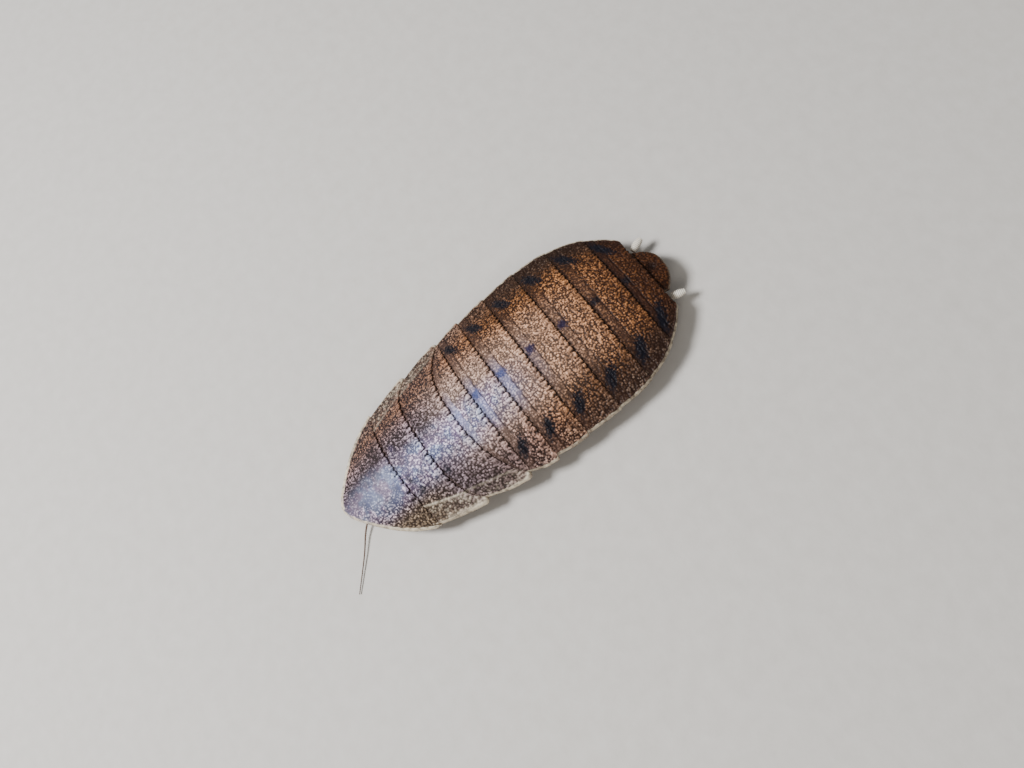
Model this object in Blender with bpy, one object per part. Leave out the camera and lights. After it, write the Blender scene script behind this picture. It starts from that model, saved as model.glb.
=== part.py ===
"""Bark cockroach, a wingless female: a still, life-size model, crouched flat with its legs tucked under.

Metres, +Z up. The head points along -Y, the animal's left side is +X, and the floor is z = 0. The origin is
on the floor under the flat of the belly, at the middle of the body's length. Places along the body are
measured from the front edge of the neck shield and called "back"; places to the side are called "side".
"""

import math
import random

import bmesh
import bpy
from mathutils import Matrix, Vector

MM = 0.001

# The body's outline, seen from above
LENGTH = 28.0 * MM
HALF_WIDTH = 6.5 * MM
WIDEST_BACK = 18.8 * MM
FRONT_TAPER = 20.5 * MM
REAR_TAPER = 9.2 * MM
REAR_BLUNTNESS = 2.6
REAR_FULLNESS = 0.625
SHIELD_HALF_WIDTH = 4.85 * MM
SHIELD_NOSE_LENGTH = 0.97 * MM
SHIELD_NOSE_WIDTH = 1.0 * MM
SHIELD_SHOULDER = 1.07 * MM

# The pose: the midline runs slightly to the animal's right at the shield and behind the waist
FRONT_SWAY = 0.45 * MM
FRONT_SWAY_END = 6.0 * MM
REAR_SWAY = 0.22 * MM
REAR_SWAY_RANGE = (12.0 * MM, 20.0 * MM)

# The back's height above the floor
MARGIN_HEIGHT = 1.7 * MM
MARGIN_DROP = 0.25 * MM
MARGIN_DROP_LENGTH = 9.0 * MM
RISE = 2.2 * MM
RISE_BLUNTNESS = 2.2
RISE_FULLNESS = 0.8
FLANGE_POWER = 1.2

# Plates of the back
GAP = 0.3 * MM
PLATE_THICKNESS = 0.5 * MM
PLATE_LIFT = 0.2 * MM
PLATE_SLANT = 0.22 * MM
CORNER_FLARE = 0.12 * MM
TOOTH_DEPTH = 0.13 * MM
TOOTH_PITCH = 0.6 * MM

# Each plate's rear edge: its place on the midline, how far its corners sweep back, and how late they do so
PLATE_EDGES = (
    ("pronotum", 4.98 * MM, 0.32 * MM, 3),
    ("mesonotum", 7.54 * MM, 1.35 * MM, 5),
    ("metanotum", 10.37 * MM, 1.78 * MM, 3),
    ("tergite_1", 12.10 * MM, 0.15 * MM, 2),
    ("tergite_2", 14.21 * MM, 0.04 * MM, 4),
    ("tergite_3", 16.66 * MM, 0.06 * MM, 4),
    ("tergite_4", 19.35 * MM, 0.14 * MM, 4),
    ("tergite_5", 22.06 * MM, 0.17 * MM, 4),
    ("tergite_6", 24.69 * MM, 0.18 * MM, 4),
    ("tergite_7", 26.58 * MM, 0.15 * MM, 4),
)
HIDDEN_SIDE_REACH = 0.86  # tergite_1 ends under the lobes of the metanotum

TAIL_PLATE_HALF_WIDTH = 1.7 * MM
TAIL_PLATE_HEIGHT = 2.05 * MM
TAIL_PLATE_TIP_HEIGHT = 1.8 * MM
TAIL_PLATE_CROWN = 0.4 * MM
TAIL_PLATE_ROUNDING = 0.7 * MM

# Underside
THORAX_FRONT = 4.85 * MM
THORAX_REAR = 10.6 * MM
THORAX_REACH = 0.80
THORAX_BELLY_HEIGHT = 1.3 * MM
ABDOMEN_REACH = 0.84
STERNITE_EDGES = tuple(edge * MM for edge in (10.9, 12.9, 15.2, 17.6, 20.0, 22.2, 24.2, 26.6))
STERNITE_GROOVE = 0.12 * MM
STERNITE_GROOVE_HALF_LENGTH = 0.2 * MM
BELLY_FLAT_HALF_WIDTH = 1.9 * MM
BELLY_SLOPE_END = 4.0 * MM
BELLY_SIDE_HEIGHT = 0.95 * MM
BELLY_FRONT_HEIGHT = 1.1 * MM
BELLY_FRONT_SLOPE = (12.2 * MM, 13.05 * MM)
BELLY_REAR_HEIGHT = 0.4 * MM
BELLY_REAR_SLOPE = (23.5 * MM, 26.6 * MM)
GENITAL_PLATE_HALF_WIDTH = 1.35 * MM
GENITAL_PLATE_BACK = (25.6 * MM, 27.5 * MM)
GENITAL_PLATE_HEIGHTS = (0.5 * MM, 0.95 * MM)

# Head, folded under the neck shield with its face down and its mouth to the rear
HEAD_CENTRE = (0.0, 3.1 * MM, 1.05 * MM)
HEAD_RADII = (1.05 * MM, 1.35 * MM, 0.6 * MM)
MOUTH_CENTRE = (0.0, 4.08 * MM, 0.75 * MM)
MOUTH_RADII = (0.72 * MM, 0.46 * MM, 0.4 * MM)
EYE_PLACE = (1.33 * MM, 2.7 * MM, 1.02 * MM)
EYE_RADII = (0.32 * MM, 0.5 * MM, 0.36 * MM)

FEELER_RADIUS = 0.26 * MM
FEELER_TIP_SHARE = 0.45
# The left feeler runs out to the front and side; the right one is folded back under the shield's rim
FEELER_ROUTES = {
    "antenna_left": ((0.66, 1.68, 0.85), (1.45, 0.62, 0.42), (3.05, -0.66, 0.30), (5.05, -2.35, 0.27)),
    "antenna_right": (
        (-0.66, 1.68, 0.85),
        (-1.60, 1.02, 0.42),
        (-2.95, 1.95, 0.42),
        (-3.95, 3.10, 0.42),
        (-4.55, 4.30, 0.42),
        (-4.85, 5.60, 0.42),
    ),
}
PALP_ROUTE = ((1.05, 4.10, 0.66), (1.62, 3.75, 0.42), (1.78, 3.2, 0.30))
PALP_RADIUS = 0.25 * MM
CERCUS_ROUTE = ((2.34, 27.05, 1.10), (2.50, 27.45, 1.13), (2.64, 27.85, 1.15))
CERCUS_RADIUS = 0.26 * MM
CERCUS_TIP_SHARE = 0.55

# Legs of the left side: hip, trochanter, knee, heel and toe, as (side, back, height) in millimetres
LEG_JOINTS = {
    "front": ((2.6, 5.2, 0.80), (0.85, 6.1, 0.72), (3.55, 4.7, 0.55), (2.75, 2.85, 0.40), (2.05, 1.95, 0.20)),
    "middle": ((3.0, 6.9, 0.80), (0.85, 7.9, 0.72), (4.55, 7.5, 0.55), (5.25, 9.2, 0.36), (5.15, 10.9, 0.20)),
    "hind": ((3.3, 8.9, 0.80), (0.90, 9.9, 0.72), (4.20, 11.1, 0.53), (5.00, 14.9, 0.33), (4.65, 17.4, 0.20)),
}
LEG_SPINES = {"front": 4, "middle": 6, "hind": 8}
COXA_HALF_WIDTH = 0.5 * MM
COXA_HALF_HEIGHT = 0.2 * MM
FEMUR_HALF_WIDTH = 0.42 * MM
FEMUR_HALF_HEIGHT = 0.26 * MM
TIBIA_HALF_WIDTH = 0.27 * MM
TARSUS_HALF_WIDTH = 0.25 * MM
TARSUS_TIP_SHARE = 0.5
LIMB_SIDES = 10
LIMB_END_BULGE = 0.4
SPINE_LENGTH = 0.55 * MM
SPINE_RADIUS = 0.11 * MM
SPINE_SUNK = 0.12 * MM
SPINE_SEED = 28

# Colour, roughness and metallic value of each material
MATERIALS = {
    "shield_plate": ((0.20, 0.15, 0.14), 0.45, 0.0),
    "thorax_plate": ((0.17, 0.12, 0.11), 0.5, 0.0),
    "abdomen_plate": ((0.19, 0.09, 0.045), 0.55, 0.0),
    "tail_plate": ((0.26, 0.12, 0.05), 0.5, 0.0),
    "underside": ((0.10, 0.045, 0.025), 0.4, 0.0),
    "head": ((0.09, 0.04, 0.025), 0.4, 0.0),
    "eye": ((0.012, 0.010, 0.010), 0.15, 0.0),
    "feeler": ((0.10, 0.055, 0.03), 0.5, 0.0),
    "leg": ((0.13, 0.06, 0.03), 0.4, 0.0),
    "cercus": ((0.72, 0.62, 0.44), 0.45, 0.0),
}


def smooth_step(value, start, end):
    """0 before start, 1 after end, and an S-shaped change between them."""
    share = min(max((value - start) / (end - start), 0.0), 1.0)
    return share * share * (3.0 - 2.0 * share)


def shield_front(side):
    """How far back the rim of the neck shield lies, this far to the side: a round nose and full shoulders."""
    nose = SHIELD_NOSE_LENGTH * (math.hypot(1.0, side / SHIELD_NOSE_WIDTH) - 1.0)
    return nose + SHIELD_SHOULDER * (side / SHIELD_HALF_WIDTH) ** 6


def shield_half_width(back):
    """Half the width of the neck shield, found by halving, as its rim is given the other way round."""
    low, high = 0.0, SHIELD_HALF_WIDTH
    for _ in range(30):
        side = (low + high) / 2
        if shield_front(side) < back:
            low = side
        else:
            high = side
    return high


def half_width(back):
    """Half the width of the outline, this far behind the front edge of the shield."""
    if back > WIDEST_BACK:
        share = min((back - WIDEST_BACK) / REAR_TAPER, 1.0)
        return HALF_WIDTH * (1.0 - share**REAR_BLUNTNESS) ** REAR_FULLNESS
    side = HALF_WIDTH * math.sqrt(1.0 - ((WIDEST_BACK - back) / FRONT_TAPER) ** 2)
    return min(side, shield_half_width(back)) if back < shield_front(SHIELD_HALF_WIDTH) else side


def swayed(place):
    """The place moved aside to where the midline lies in the pose."""
    back = place.y + LENGTH / 2
    front = FRONT_SWAY * max(0.0, 1.0 - max(back, 0.0) / FRONT_SWAY_END) ** 2
    rear = REAR_SWAY * smooth_step(back, *REAR_SWAY_RANGE)
    return place - Vector((front + rear, 0.0, 0.0))


def back_height(back, side):
    """Height of the smooth surface that all plates of the back follow: a low dome with a flat flange."""
    middle = LENGTH / 2
    share = min(abs(back - middle) / middle, 1.0)
    rise = RISE * (1.0 - share**RISE_BLUNTNESS) ** RISE_FULLNESS
    across = min(abs(side) / max(half_width(back), GAP), 1.0)
    margin = MARGIN_HEIGHT - MARGIN_DROP * max(0.0, 1.0 - back / MARGIN_DROP_LENGTH)
    return margin + rise * (1.0 - across * across) ** FLANGE_POWER


def point(side, back, height):
    """World place of a point given by its distance to the side, from the front edge and from the floor."""
    return Vector((side, back - LENGTH / 2, height))


def route_points(route, steps):
    """A smooth curve through the route, given in millimetres, as closely spaced places."""
    stops = [point(*(value * MM for value in stop)) for stop in route]
    ends = [2 * stops[0] - stops[1], *stops, 2 * stops[-1] - stops[-2]]
    places = []
    for before, start, end, after in zip(ends, ends[1:], ends[2:], ends[3:]):
        for step in range(steps):
            t = step / steps
            bend = (end - before) * t + (2 * before - 5 * start + 4 * end - after) * t**2
            places.append(start + 0.5 * (bend + (3 * start - before - 3 * end + after) * t**3))
    return [*places, stops[-1]]


def make_material(name):
    colour, roughness, metallic = MATERIALS[name]
    material = bpy.data.materials.get(name) or bpy.data.materials.new(name)
    material.use_nodes = True
    shader = material.node_tree.nodes["Principled BSDF"]
    shader.inputs["Base Color"].default_value = (*colour, 1.0)
    shader.inputs["Roughness"].default_value = roughness
    shader.inputs["Metallic"].default_value = metallic
    material.diffuse_color = (*colour, 1.0)
    return material


def add_object(name, data, material, anchor=None):
    """A named object under the body's empty, with its origin at its anchor."""
    item = bpy.data.objects.new(name, data)
    item.data.materials.append(make_material(material))
    item.location = anchor or (0.0, 0.0, 0.0)
    item.parent = BODY
    PARTS.objects.link(item)
    return item


def add_mesh(name, mesh, material, anchor):
    """An object from a closed mesh that was worked out in world places, before the pose's sway."""
    anchor = swayed(anchor)
    for vert in mesh.verts:
        vert.co = swayed(vert.co) - anchor
    data = bpy.data.meshes.new(name)
    mesh.to_mesh(data)
    mesh.free()
    data.shade_smooth()
    data.set_sharp_from_angle(angle=math.radians(35))
    return add_object(name, data, material, anchor)


def slab(columns, rows, place):
    """A closed plate: a grid of columns across and rows along, thickened, with each of its points put in place."""
    mesh = bmesh.new()
    bmesh.ops.create_grid(mesh, x_segments=columns, y_segments=rows, size=1.0)
    bmesh.ops.triangulate(mesh, faces=mesh.faces)
    extruded = bmesh.ops.extrude_face_region(mesh, geom=mesh.faces[:])
    upper = [item for item in extruded["geom"] if isinstance(item, bmesh.types.BMVert)]
    bmesh.ops.translate(mesh, verts=upper, vec=(0.0, 0.0, 1.0))
    for vert in mesh.verts:
        vert.co = place(vert.co.x, (vert.co.y + 1.0) / 2.0, vert.co.z)
    bmesh.ops.recalc_face_normals(mesh, faces=mesh.faces)
    return mesh


def keep_largest(mesh):
    """Keeps only the closed surface with the most faces."""
    left = set(mesh.faces)
    shells = []
    while left:
        shell = {left.pop()}
        edge_of_shell = set(shell)
        while edge_of_shell:
            near = {face for item in edge_of_shell for edge in item.edges for face in edge.link_faces}
            edge_of_shell = near & left
            left -= edge_of_shell
            shell |= edge_of_shell
        shells.append(shell)
    largest = max(shells, key=len)
    bmesh.ops.delete(mesh, geom=[face for face in mesh.faces if face not in largest], context="FACES")


def fused(meshes):
    """One closed mesh from several closed meshes that overlap."""
    collection = bpy.data.collections.new("to_fuse")
    bpy.context.scene.collection.children.link(collection)
    items = []
    for mesh in meshes:
        data = bpy.data.meshes.new("to_fuse")
        mesh.to_mesh(data)
        mesh.free()
        items.append(bpy.data.objects.new("to_fuse", data))
    bpy.context.scene.collection.objects.link(items[0])
    for item in items[1:]:
        collection.objects.link(item)
    union = items[0].modifiers.new("fuse", "BOOLEAN")
    union.operation = "UNION"
    union.operand_type = "COLLECTION"
    union.solver = "EXACT"
    union.collection = collection
    whole = bpy.data.meshes.new_from_object(items[0].evaluated_get(bpy.context.evaluated_depsgraph_get()))
    for item in items:
        bpy.data.objects.remove(item)
    bpy.data.collections.remove(collection)
    result = bmesh.new()
    result.from_mesh(whole)
    keep_largest(result)
    return result


def mirrored(mesh):
    """The same mesh for the other side of the body."""
    other = mesh.copy()
    bmesh.ops.scale(other, vec=(-1.0, 1.0, 1.0), verts=other.verts)
    bmesh.ops.reverse_faces(other, faces=other.faces)
    return other


def tooth(across, columns):
    """Every second column of a plate's rear edge is set back, which gives it a row of blunt teeth."""
    column = round((across + 1.0) / 2.0 * columns)
    return TOOTH_DEPTH if column % 2 else 0.0


def rear_edge(index, across):
    _, midline, sweep, power = PLATE_EDGES[index]
    return midline + sweep * abs(across) ** power


def front_edge(index, across):
    """The edge keeps clear of every plate in front, as the lobes of the metanotum pass the first tergite."""
    if index == 0:
        return shield_front(abs(across) * SHIELD_HALF_WIDTH)
    return GAP + max(rear_edge(before, across) for before in range(index))


def back_plate(index):
    """One plate of the back: it rises towards its rear edge, which leans over the plate behind it."""
    name = PLATE_EDGES[index][0]
    reach = HIDDEN_SIDE_REACH if name == "tergite_1" else 1.0
    widest = SHIELD_HALF_WIDTH if index == 0 else half_width(rear_edge(index, 0.0)) * reach
    columns = 2 * round(widest / TOOTH_PITCH * 2)
    rows = 8 if index == 0 else 3

    def place(across, along, level):
        front = front_edge(index, across * reach)
        back = front + along * (rear_edge(index, across * reach) - front)
        if along == 1.0:
            back -= tooth(across, columns)
        if index == 0:
            side = across * SHIELD_HALF_WIDTH
            slant = PLATE_SLANT * along
        else:
            side = across * reach * half_width(back)
            slant = PLATE_SLANT
        side += CORNER_FLARE * across * abs(across) ** 8 * along**2
        top = back_height(back, side) + PLATE_LIFT * along
        bottom = back_height(back, side) - PLATE_THICKNESS
        return point(side, back - slant * (1.0 - level), bottom + level * (top - bottom))

    anchor = point(0.0, rear_edge(index, 0.0), MARGIN_HEIGHT)
    material = "shield_plate" if index == 0 else "thorax_plate" if index < 3 else "abdomen_plate"
    add_mesh(name, slab(columns, rows, place), material, anchor)


def tail_plate():
    """The last plate of the back: a low, rounded tongue behind the seventh tergite."""
    base = rear_edge(len(PLATE_EDGES) - 1, 0.0) + GAP

    def place(across, along, level):
        tip = LENGTH - TAIL_PLATE_ROUNDING * abs(across) ** 3
        back = base + along * (tip - base)
        ridge = TAIL_PLATE_HEIGHT + along * (TAIL_PLATE_TIP_HEIGHT - TAIL_PLATE_HEIGHT)
        top = ridge - TAIL_PLATE_CROWN * across**2
        slant = PLATE_SLANT * (1.0 - along)
        return point(
            across * TAIL_PLATE_HALF_WIDTH,
            back - slant * (1.0 - level),
            top - PLATE_THICKNESS * (1.0 - level),
        )

    add_mesh("supra_anal_plate", slab(14, 4, place), "tail_plate", point(0.0, base, TAIL_PLATE_HEIGHT))


def under_back(back, side):
    """The highest that anything under the plates of the back may reach."""
    return back_height(back, side) - PLATE_THICKNESS - GAP


def thorax():
    """The chest under the three thorax plates, flat below, where the legs fold against it."""

    def place(across, along, level):
        back = THORAX_FRONT + along * (THORAX_REAR - THORAX_FRONT)
        side = across * THORAX_REACH * half_width(back)
        top = under_back(back, side)
        bottom = THORAX_BELLY_HEIGHT
        return point(side, back, bottom + level * (top - bottom))

    middle = (THORAX_FRONT + THORAX_REAR) / 2
    add_mesh("thorax", slab(16, 5, place), "underside", point(0.0, middle, THORAX_BELLY_HEIGHT))


def belly_height(back, side):
    """Height of the belly: a flat on the floor, raised to the sides, over the hind thighs and at the tail."""
    sides = BELLY_SIDE_HEIGHT * smooth_step(abs(side), BELLY_FLAT_HALF_WIDTH, BELLY_SLOPE_END)
    front = BELLY_FRONT_HEIGHT * (1.0 - smooth_step(back, *BELLY_FRONT_SLOPE))
    rear = BELLY_REAR_HEIGHT * smooth_step(back, *BELLY_REAR_SLOPE)
    return max(sides + rear, front)


def abdomen():
    """The abdomen under the tergites, with a groove between each pair of belly plates and the genital plate."""
    stations = []
    for start, end in zip(STERNITE_EDGES, STERNITE_EDGES[1:]):
        stations += [start, start + STERNITE_GROOVE_HALF_LENGTH, end - STERNITE_GROOVE_HALF_LENGTH]
    stations.append(STERNITE_EDGES[-1])
    rows = len(stations) - 1

    def place(across, along, level):
        back = stations[round(along * rows)]
        side = across * ABDOMEN_REACH * half_width(back)
        top = under_back(back, side)
        bottom = belly_height(back, side)
        if back in STERNITE_EDGES[1:-1]:
            bottom += STERNITE_GROOVE
        return point(side, back, bottom + level * (top - bottom))

    def place_genital(across, along, level):
        start, end = GENITAL_PLATE_BACK
        low, high = GENITAL_PLATE_HEIGHTS
        reach = math.sqrt(max(1.0 - along**4, 0.12))
        back = start + along * (end - start) * (1.0 - 0.12 * across**2 * along)
        return point(across * GENITAL_PLATE_HALF_WIDTH * reach, back, low + level * (high - low))

    whole = fused([slab(20, rows, place), slab(8, 5, place_genital)])
    add_mesh("abdomen", whole, "underside", point(0.0, LENGTH / 2, 0.0))


def ball(centre, radii, segments=20, rings=12):
    mesh = bmesh.new()
    bmesh.ops.create_uvsphere(mesh, u_segments=segments, v_segments=rings, radius=1.0)
    bmesh.ops.scale(mesh, vec=radii, verts=mesh.verts)
    bmesh.ops.translate(mesh, vec=point(*centre), verts=mesh.verts)
    return mesh


def head():
    """The head capsule with its mouthparts, and an eye at each side."""
    whole = fused([ball(HEAD_CENTRE, HEAD_RADII), ball(MOUTH_CENTRE, MOUTH_RADII, 16, 10)])
    add_mesh("head", whole, "head", point(*HEAD_CENTRE))
    side, back, height = EYE_PLACE
    eye = ball((0.0, back, height), EYE_RADII, 16, 10)
    cut = bmesh.ops.bisect_plane(
        eye, geom=[*eye.verts, *eye.edges, *eye.faces], plane_co=(0, 0, 0), plane_no=(1, 0, 0), clear_inner=True
    )
    rim = [item for item in cut["geom_cut"] if isinstance(item, bmesh.types.BMEdge)]
    bmesh.ops.contextual_create(eye, geom=rim)
    bmesh.ops.translate(eye, vec=(side, 0.0, 0.0), verts=eye.verts)
    bmesh.ops.recalc_face_normals(eye, faces=eye.faces)
    add_mesh("eye_right", mirrored(eye), "eye", point(-side, back, height))
    add_mesh("eye_left", eye, "eye", point(side, back, height))


def tube(name, route, radius, tip_share, material):
    """A round tube along a smooth route, thinner towards its tip."""
    places = [swayed(place) for place in route_points(route, 6)]
    curve = bpy.data.curves.new(name, "CURVE")
    curve.dimensions = "3D"
    curve.bevel_depth = radius
    curve.bevel_resolution = 2
    curve.use_fill_caps = True
    spline = curve.splines.new("POLY")
    spline.points.add(len(places) - 1)
    for index, place in enumerate(places):
        share = index / (len(places) - 1)
        spline.points[index].co = (*(place - places[0]), 1.0)
        spline.points[index].radius = 1.0 - share * (1.0 - tip_share)
    add_object(name, curve, material, places[0])


def feelers_palps_cerci():
    for name, route in FEELER_ROUTES.items():
        tube(name, route, FEELER_RADIUS, FEELER_TIP_SHARE, "feeler")
    for side_name, sign in (("left", 1), ("right", -1)):
        palp = [(sign * side, back, height) for side, back, height in PALP_ROUTE]
        tube("palp_" + side_name, palp, PALP_RADIUS, CERCUS_TIP_SHARE, "feeler")
        cercus = [(sign * side, back, height) for side, back, height in CERCUS_ROUTE]
        tube("cercus_" + side_name, cercus, CERCUS_RADIUS, CERCUS_TIP_SHARE, "cercus")


def limb(start, end, half_widths, half_heights):
    """A flattened limb piece from start to end, with its sections' sizes at even steps, and rounded ends."""
    rings = len(half_widths)
    mesh = bmesh.new()
    bmesh.ops.create_uvsphere(mesh, u_segments=LIMB_SIDES, v_segments=rings + 1, radius=1.0)
    along = (end - start).normalized()
    across = along.cross(Vector((0.0, 0.0, 1.0))).normalized()
    upward = across.cross(along)
    for vert in mesh.verts:
        ring = round(math.acos(min(max(vert.co.z, -1.0), 1.0)) / math.pi * (rings + 1)) - 1
        if ring < 0:
            vert.co = start - along * half_widths[0] * LIMB_END_BULGE
            continue
        if ring == rings:
            vert.co = end + along * half_widths[-1] * LIMB_END_BULGE
            continue
        angle = math.atan2(vert.co.y, vert.co.x)
        centre = start.lerp(end, ring / (rings - 1))
        width, height = half_widths[ring], half_heights[ring]
        vert.co = centre + across * width * math.cos(angle) + upward * height * math.sin(angle)
    bmesh.ops.recalc_face_normals(mesh, faces=mesh.faces)
    return mesh


def spine(root, direction):
    """A sharp spine of a shin, with its root sunk in."""
    mesh = bmesh.new()
    turn = direction.to_track_quat("Z", "Y").to_matrix().to_4x4()
    middle = root + direction * (SPINE_LENGTH / 2 - SPINE_SUNK)
    bmesh.ops.create_cone(
        mesh,
        cap_ends=True,
        segments=5,
        radius1=SPINE_RADIUS,
        radius2=SPINE_RADIUS * 0.15,
        depth=SPINE_LENGTH,
        matrix=Matrix.Translation(middle) @ turn,
    )
    return mesh


def profile(size, shares):
    return [size * share for share in shares]


def leg(pair, draw):
    """A tucked leg: hip and thigh are one node, shin and foot another, and the foot has a flat on the floor."""
    hip, trochanter, knee, heel, toe = (point(*(value * MM for value in joint)) for joint in LEG_JOINTS[pair])
    swelling = (0.55, 0.95, 1.0, 0.8, 0.5)
    coxa = limb(
        hip, trochanter, profile(COXA_HALF_WIDTH, swelling), profile(COXA_HALF_HEIGHT, (0.7, 1.0, 1.0, 1.0, 0.8))
    )
    femur = limb(
        trochanter, knee, profile(FEMUR_HALF_WIDTH, swelling), profile(FEMUR_HALF_HEIGHT, (0.8, 1.0, 1.0, 1.0, 0.9))
    )
    thigh = fused([coxa, femur])

    shin_line = (heel - knee).normalized()
    shin_start = knee + shin_line * (GAP + FEMUR_HALF_WIDTH * 0.6)
    pieces = [
        limb(
            shin_start,
            heel + shin_line * TIBIA_HALF_WIDTH * 0.4,
            profile(TIBIA_HALF_WIDTH, (0.75, 1.0, 1.0, 1.1, 0.8)),
            profile(TIBIA_HALF_WIDTH, (0.75, 0.95, 0.95, 1.0, 0.8)),
        ),
        limb(
            heel - (toe - heel).normalized() * TIBIA_HALF_WIDTH * 0.4,
            toe,
            profile(TARSUS_HALF_WIDTH, (0.8, 1.0, 0.85, 0.9, TARSUS_TIP_SHARE)),
            profile(TARSUS_HALF_WIDTH, (0.8, 1.0, 0.9, 0.9, 0.8)),
        ),
    ]
    outward = shin_line.cross(Vector((0.0, 0.0, 1.0))).normalized()
    for number in range(LEG_SPINES[pair]):
        share = 0.25 + 0.65 * number / (LEG_SPINES[pair] - 1) + draw.uniform(-0.02, 0.02)
        side = outward * (1 if number % 2 else -1)
        lean = shin_line * draw.uniform(0.8, 1.1) + side + Vector((0.0, 0.0, draw.uniform(0.05, 0.2)))
        root = shin_start.lerp(heel, share) + side * TIBIA_HALF_WIDTH * 0.75
        pieces.append(spine(root, lean.normalized()))
    shin = fused(pieces)
    for vert in shin.verts:
        vert.co.z = max(vert.co.z, 0.0)

    for side_name, sign in (("right", -1), ("left", 1)):
        flip = Vector((sign, 1.0, 1.0))
        add_mesh(f"femur_{pair}_{side_name}", mirrored(thigh) if sign < 0 else thigh, "leg", trochanter * flip)
        add_mesh(f"tibia_{pair}_{side_name}", mirrored(shin) if sign < 0 else shin, "leg", knee * flip)


for thing in list(bpy.data.objects):
    bpy.data.objects.remove(thing)

PARTS = bpy.data.collections.new("bark_cockroach")
bpy.context.scene.collection.children.link(PARTS)
BODY = bpy.data.objects.new("body_frame", None)
PARTS.objects.link(BODY)

for plate_index in range(len(PLATE_EDGES)):
    back_plate(plate_index)
tail_plate()
thorax()
abdomen()
head()
feelers_palps_cerci()
spine_draw = random.Random(SPINE_SEED)
for leg_pair in LEG_JOINTS:
    leg(leg_pair, spine_draw)
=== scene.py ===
"""The dressed bark cockroach: a wingless female, crouched flat on the floor.

Metres, +Z up, head towards -Y, left side +X. "Back" is the distance behind the front edge of the neck shield
and "side" the distance from the midline, both before the slight sway of the pose is added. A share runs from
0 to 1. The places of small parts are written as side, back and height in millimetres.
"""

import math
import random
from collections import namedtuple

import bmesh
import bpy
import numpy as np
from mathutils import Matrix, Vector


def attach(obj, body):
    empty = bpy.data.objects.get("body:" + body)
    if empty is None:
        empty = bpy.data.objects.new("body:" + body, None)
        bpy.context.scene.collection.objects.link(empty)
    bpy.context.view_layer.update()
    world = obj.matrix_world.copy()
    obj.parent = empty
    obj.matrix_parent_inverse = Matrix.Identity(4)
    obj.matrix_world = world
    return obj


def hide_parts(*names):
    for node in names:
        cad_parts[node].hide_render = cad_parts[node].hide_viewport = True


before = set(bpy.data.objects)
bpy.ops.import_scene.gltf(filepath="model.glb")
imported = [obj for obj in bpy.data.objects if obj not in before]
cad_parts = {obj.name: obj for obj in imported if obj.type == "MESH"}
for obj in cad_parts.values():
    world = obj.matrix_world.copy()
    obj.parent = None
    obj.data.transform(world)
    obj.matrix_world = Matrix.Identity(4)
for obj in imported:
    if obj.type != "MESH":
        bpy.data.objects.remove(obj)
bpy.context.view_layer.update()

# Camera, lights and floor.
# The camera looks down on the left flank at the photograph's angle, through a lens of medium width, and is
# rolled so that the head lies at the lower left. A wide cool light hangs over the head end, as an open sky.
MM = 0.001
VIEW_AZIMUTH = math.radians(93.628)
VIEW_ELEVATION = math.radians(65.953)
VIEW_ROLL = math.radians(41.66)
VIEW_DISTANCE = 61.981 * MM
VIEW_TARGET = Vector((0.172, 0.715, 2.0)) * MM
SENSOR_WIDTH = 36.0
FOCAL_PIXELS = 910.24
IMAGE_WIDTH = 1024
FLOOR_HALF_SIDE = 400 * MM

towards_camera = Vector(
    (
        math.sin(VIEW_AZIMUTH) * math.cos(VIEW_ELEVATION),
        -math.cos(VIEW_AZIMUTH) * math.cos(VIEW_ELEVATION),
        math.sin(VIEW_ELEVATION),
    )
)
level_right = (-towards_camera).cross(Vector((0, 0, 1))).normalized()
level_down = (-towards_camera).cross(level_right)
right = math.cos(VIEW_ROLL) * level_right + math.sin(VIEW_ROLL) * level_down
down = math.cos(VIEW_ROLL) * level_down - math.sin(VIEW_ROLL) * level_right
camera_data = bpy.data.cameras.new("camera")
camera_data.sensor_width = SENSOR_WIDTH
camera_data.lens = FOCAL_PIXELS * SENSOR_WIDTH / IMAGE_WIDTH
camera_data.clip_start = 1 * MM
camera_data.clip_end = 5.0
camera = bpy.data.objects.new("camera", camera_data)
turn = Matrix((right, -down, towards_camera)).transposed().to_4x4()
camera.matrix_world = Matrix.Translation(VIEW_TARGET + towards_camera * VIEW_DISTANCE) @ turn
bpy.context.scene.collection.objects.link(camera)
bpy.context.scene.camera = camera


def area_light(name, place, size, watts, colour):
    """A square light which faces the middle of the body; its place and size are in millimetres."""
    light = bpy.data.lights.new(name, "AREA")
    light.shape = "SQUARE"
    light.size = size * MM
    light.energy = watts
    light.color = colour
    item = bpy.data.objects.new(name, light)
    item.location = Vector(place) * MM
    item.rotation_euler = (Vector((0, 0, 2 * MM)) - item.location).to_track_quat("-Z", "Y").to_euler()
    bpy.context.scene.collection.objects.link(item)


area_light("sky_light", (-44, -108, 166), size=56, watts=0.66, colour=(0.93, 0.95, 1.0))
area_light("side_light", (130, -90, 150), size=80, watts=0.1, colour=(1.0, 0.95, 0.88))
world = bpy.data.worlds.new("world")
world.use_nodes = True
sky = world.node_tree.nodes["Background"]
sky.inputs["Color"].default_value = (0.95, 0.97, 1.0, 1.0)
sky.inputs["Strength"].default_value = 0.27
bpy.context.scene.world = world


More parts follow.
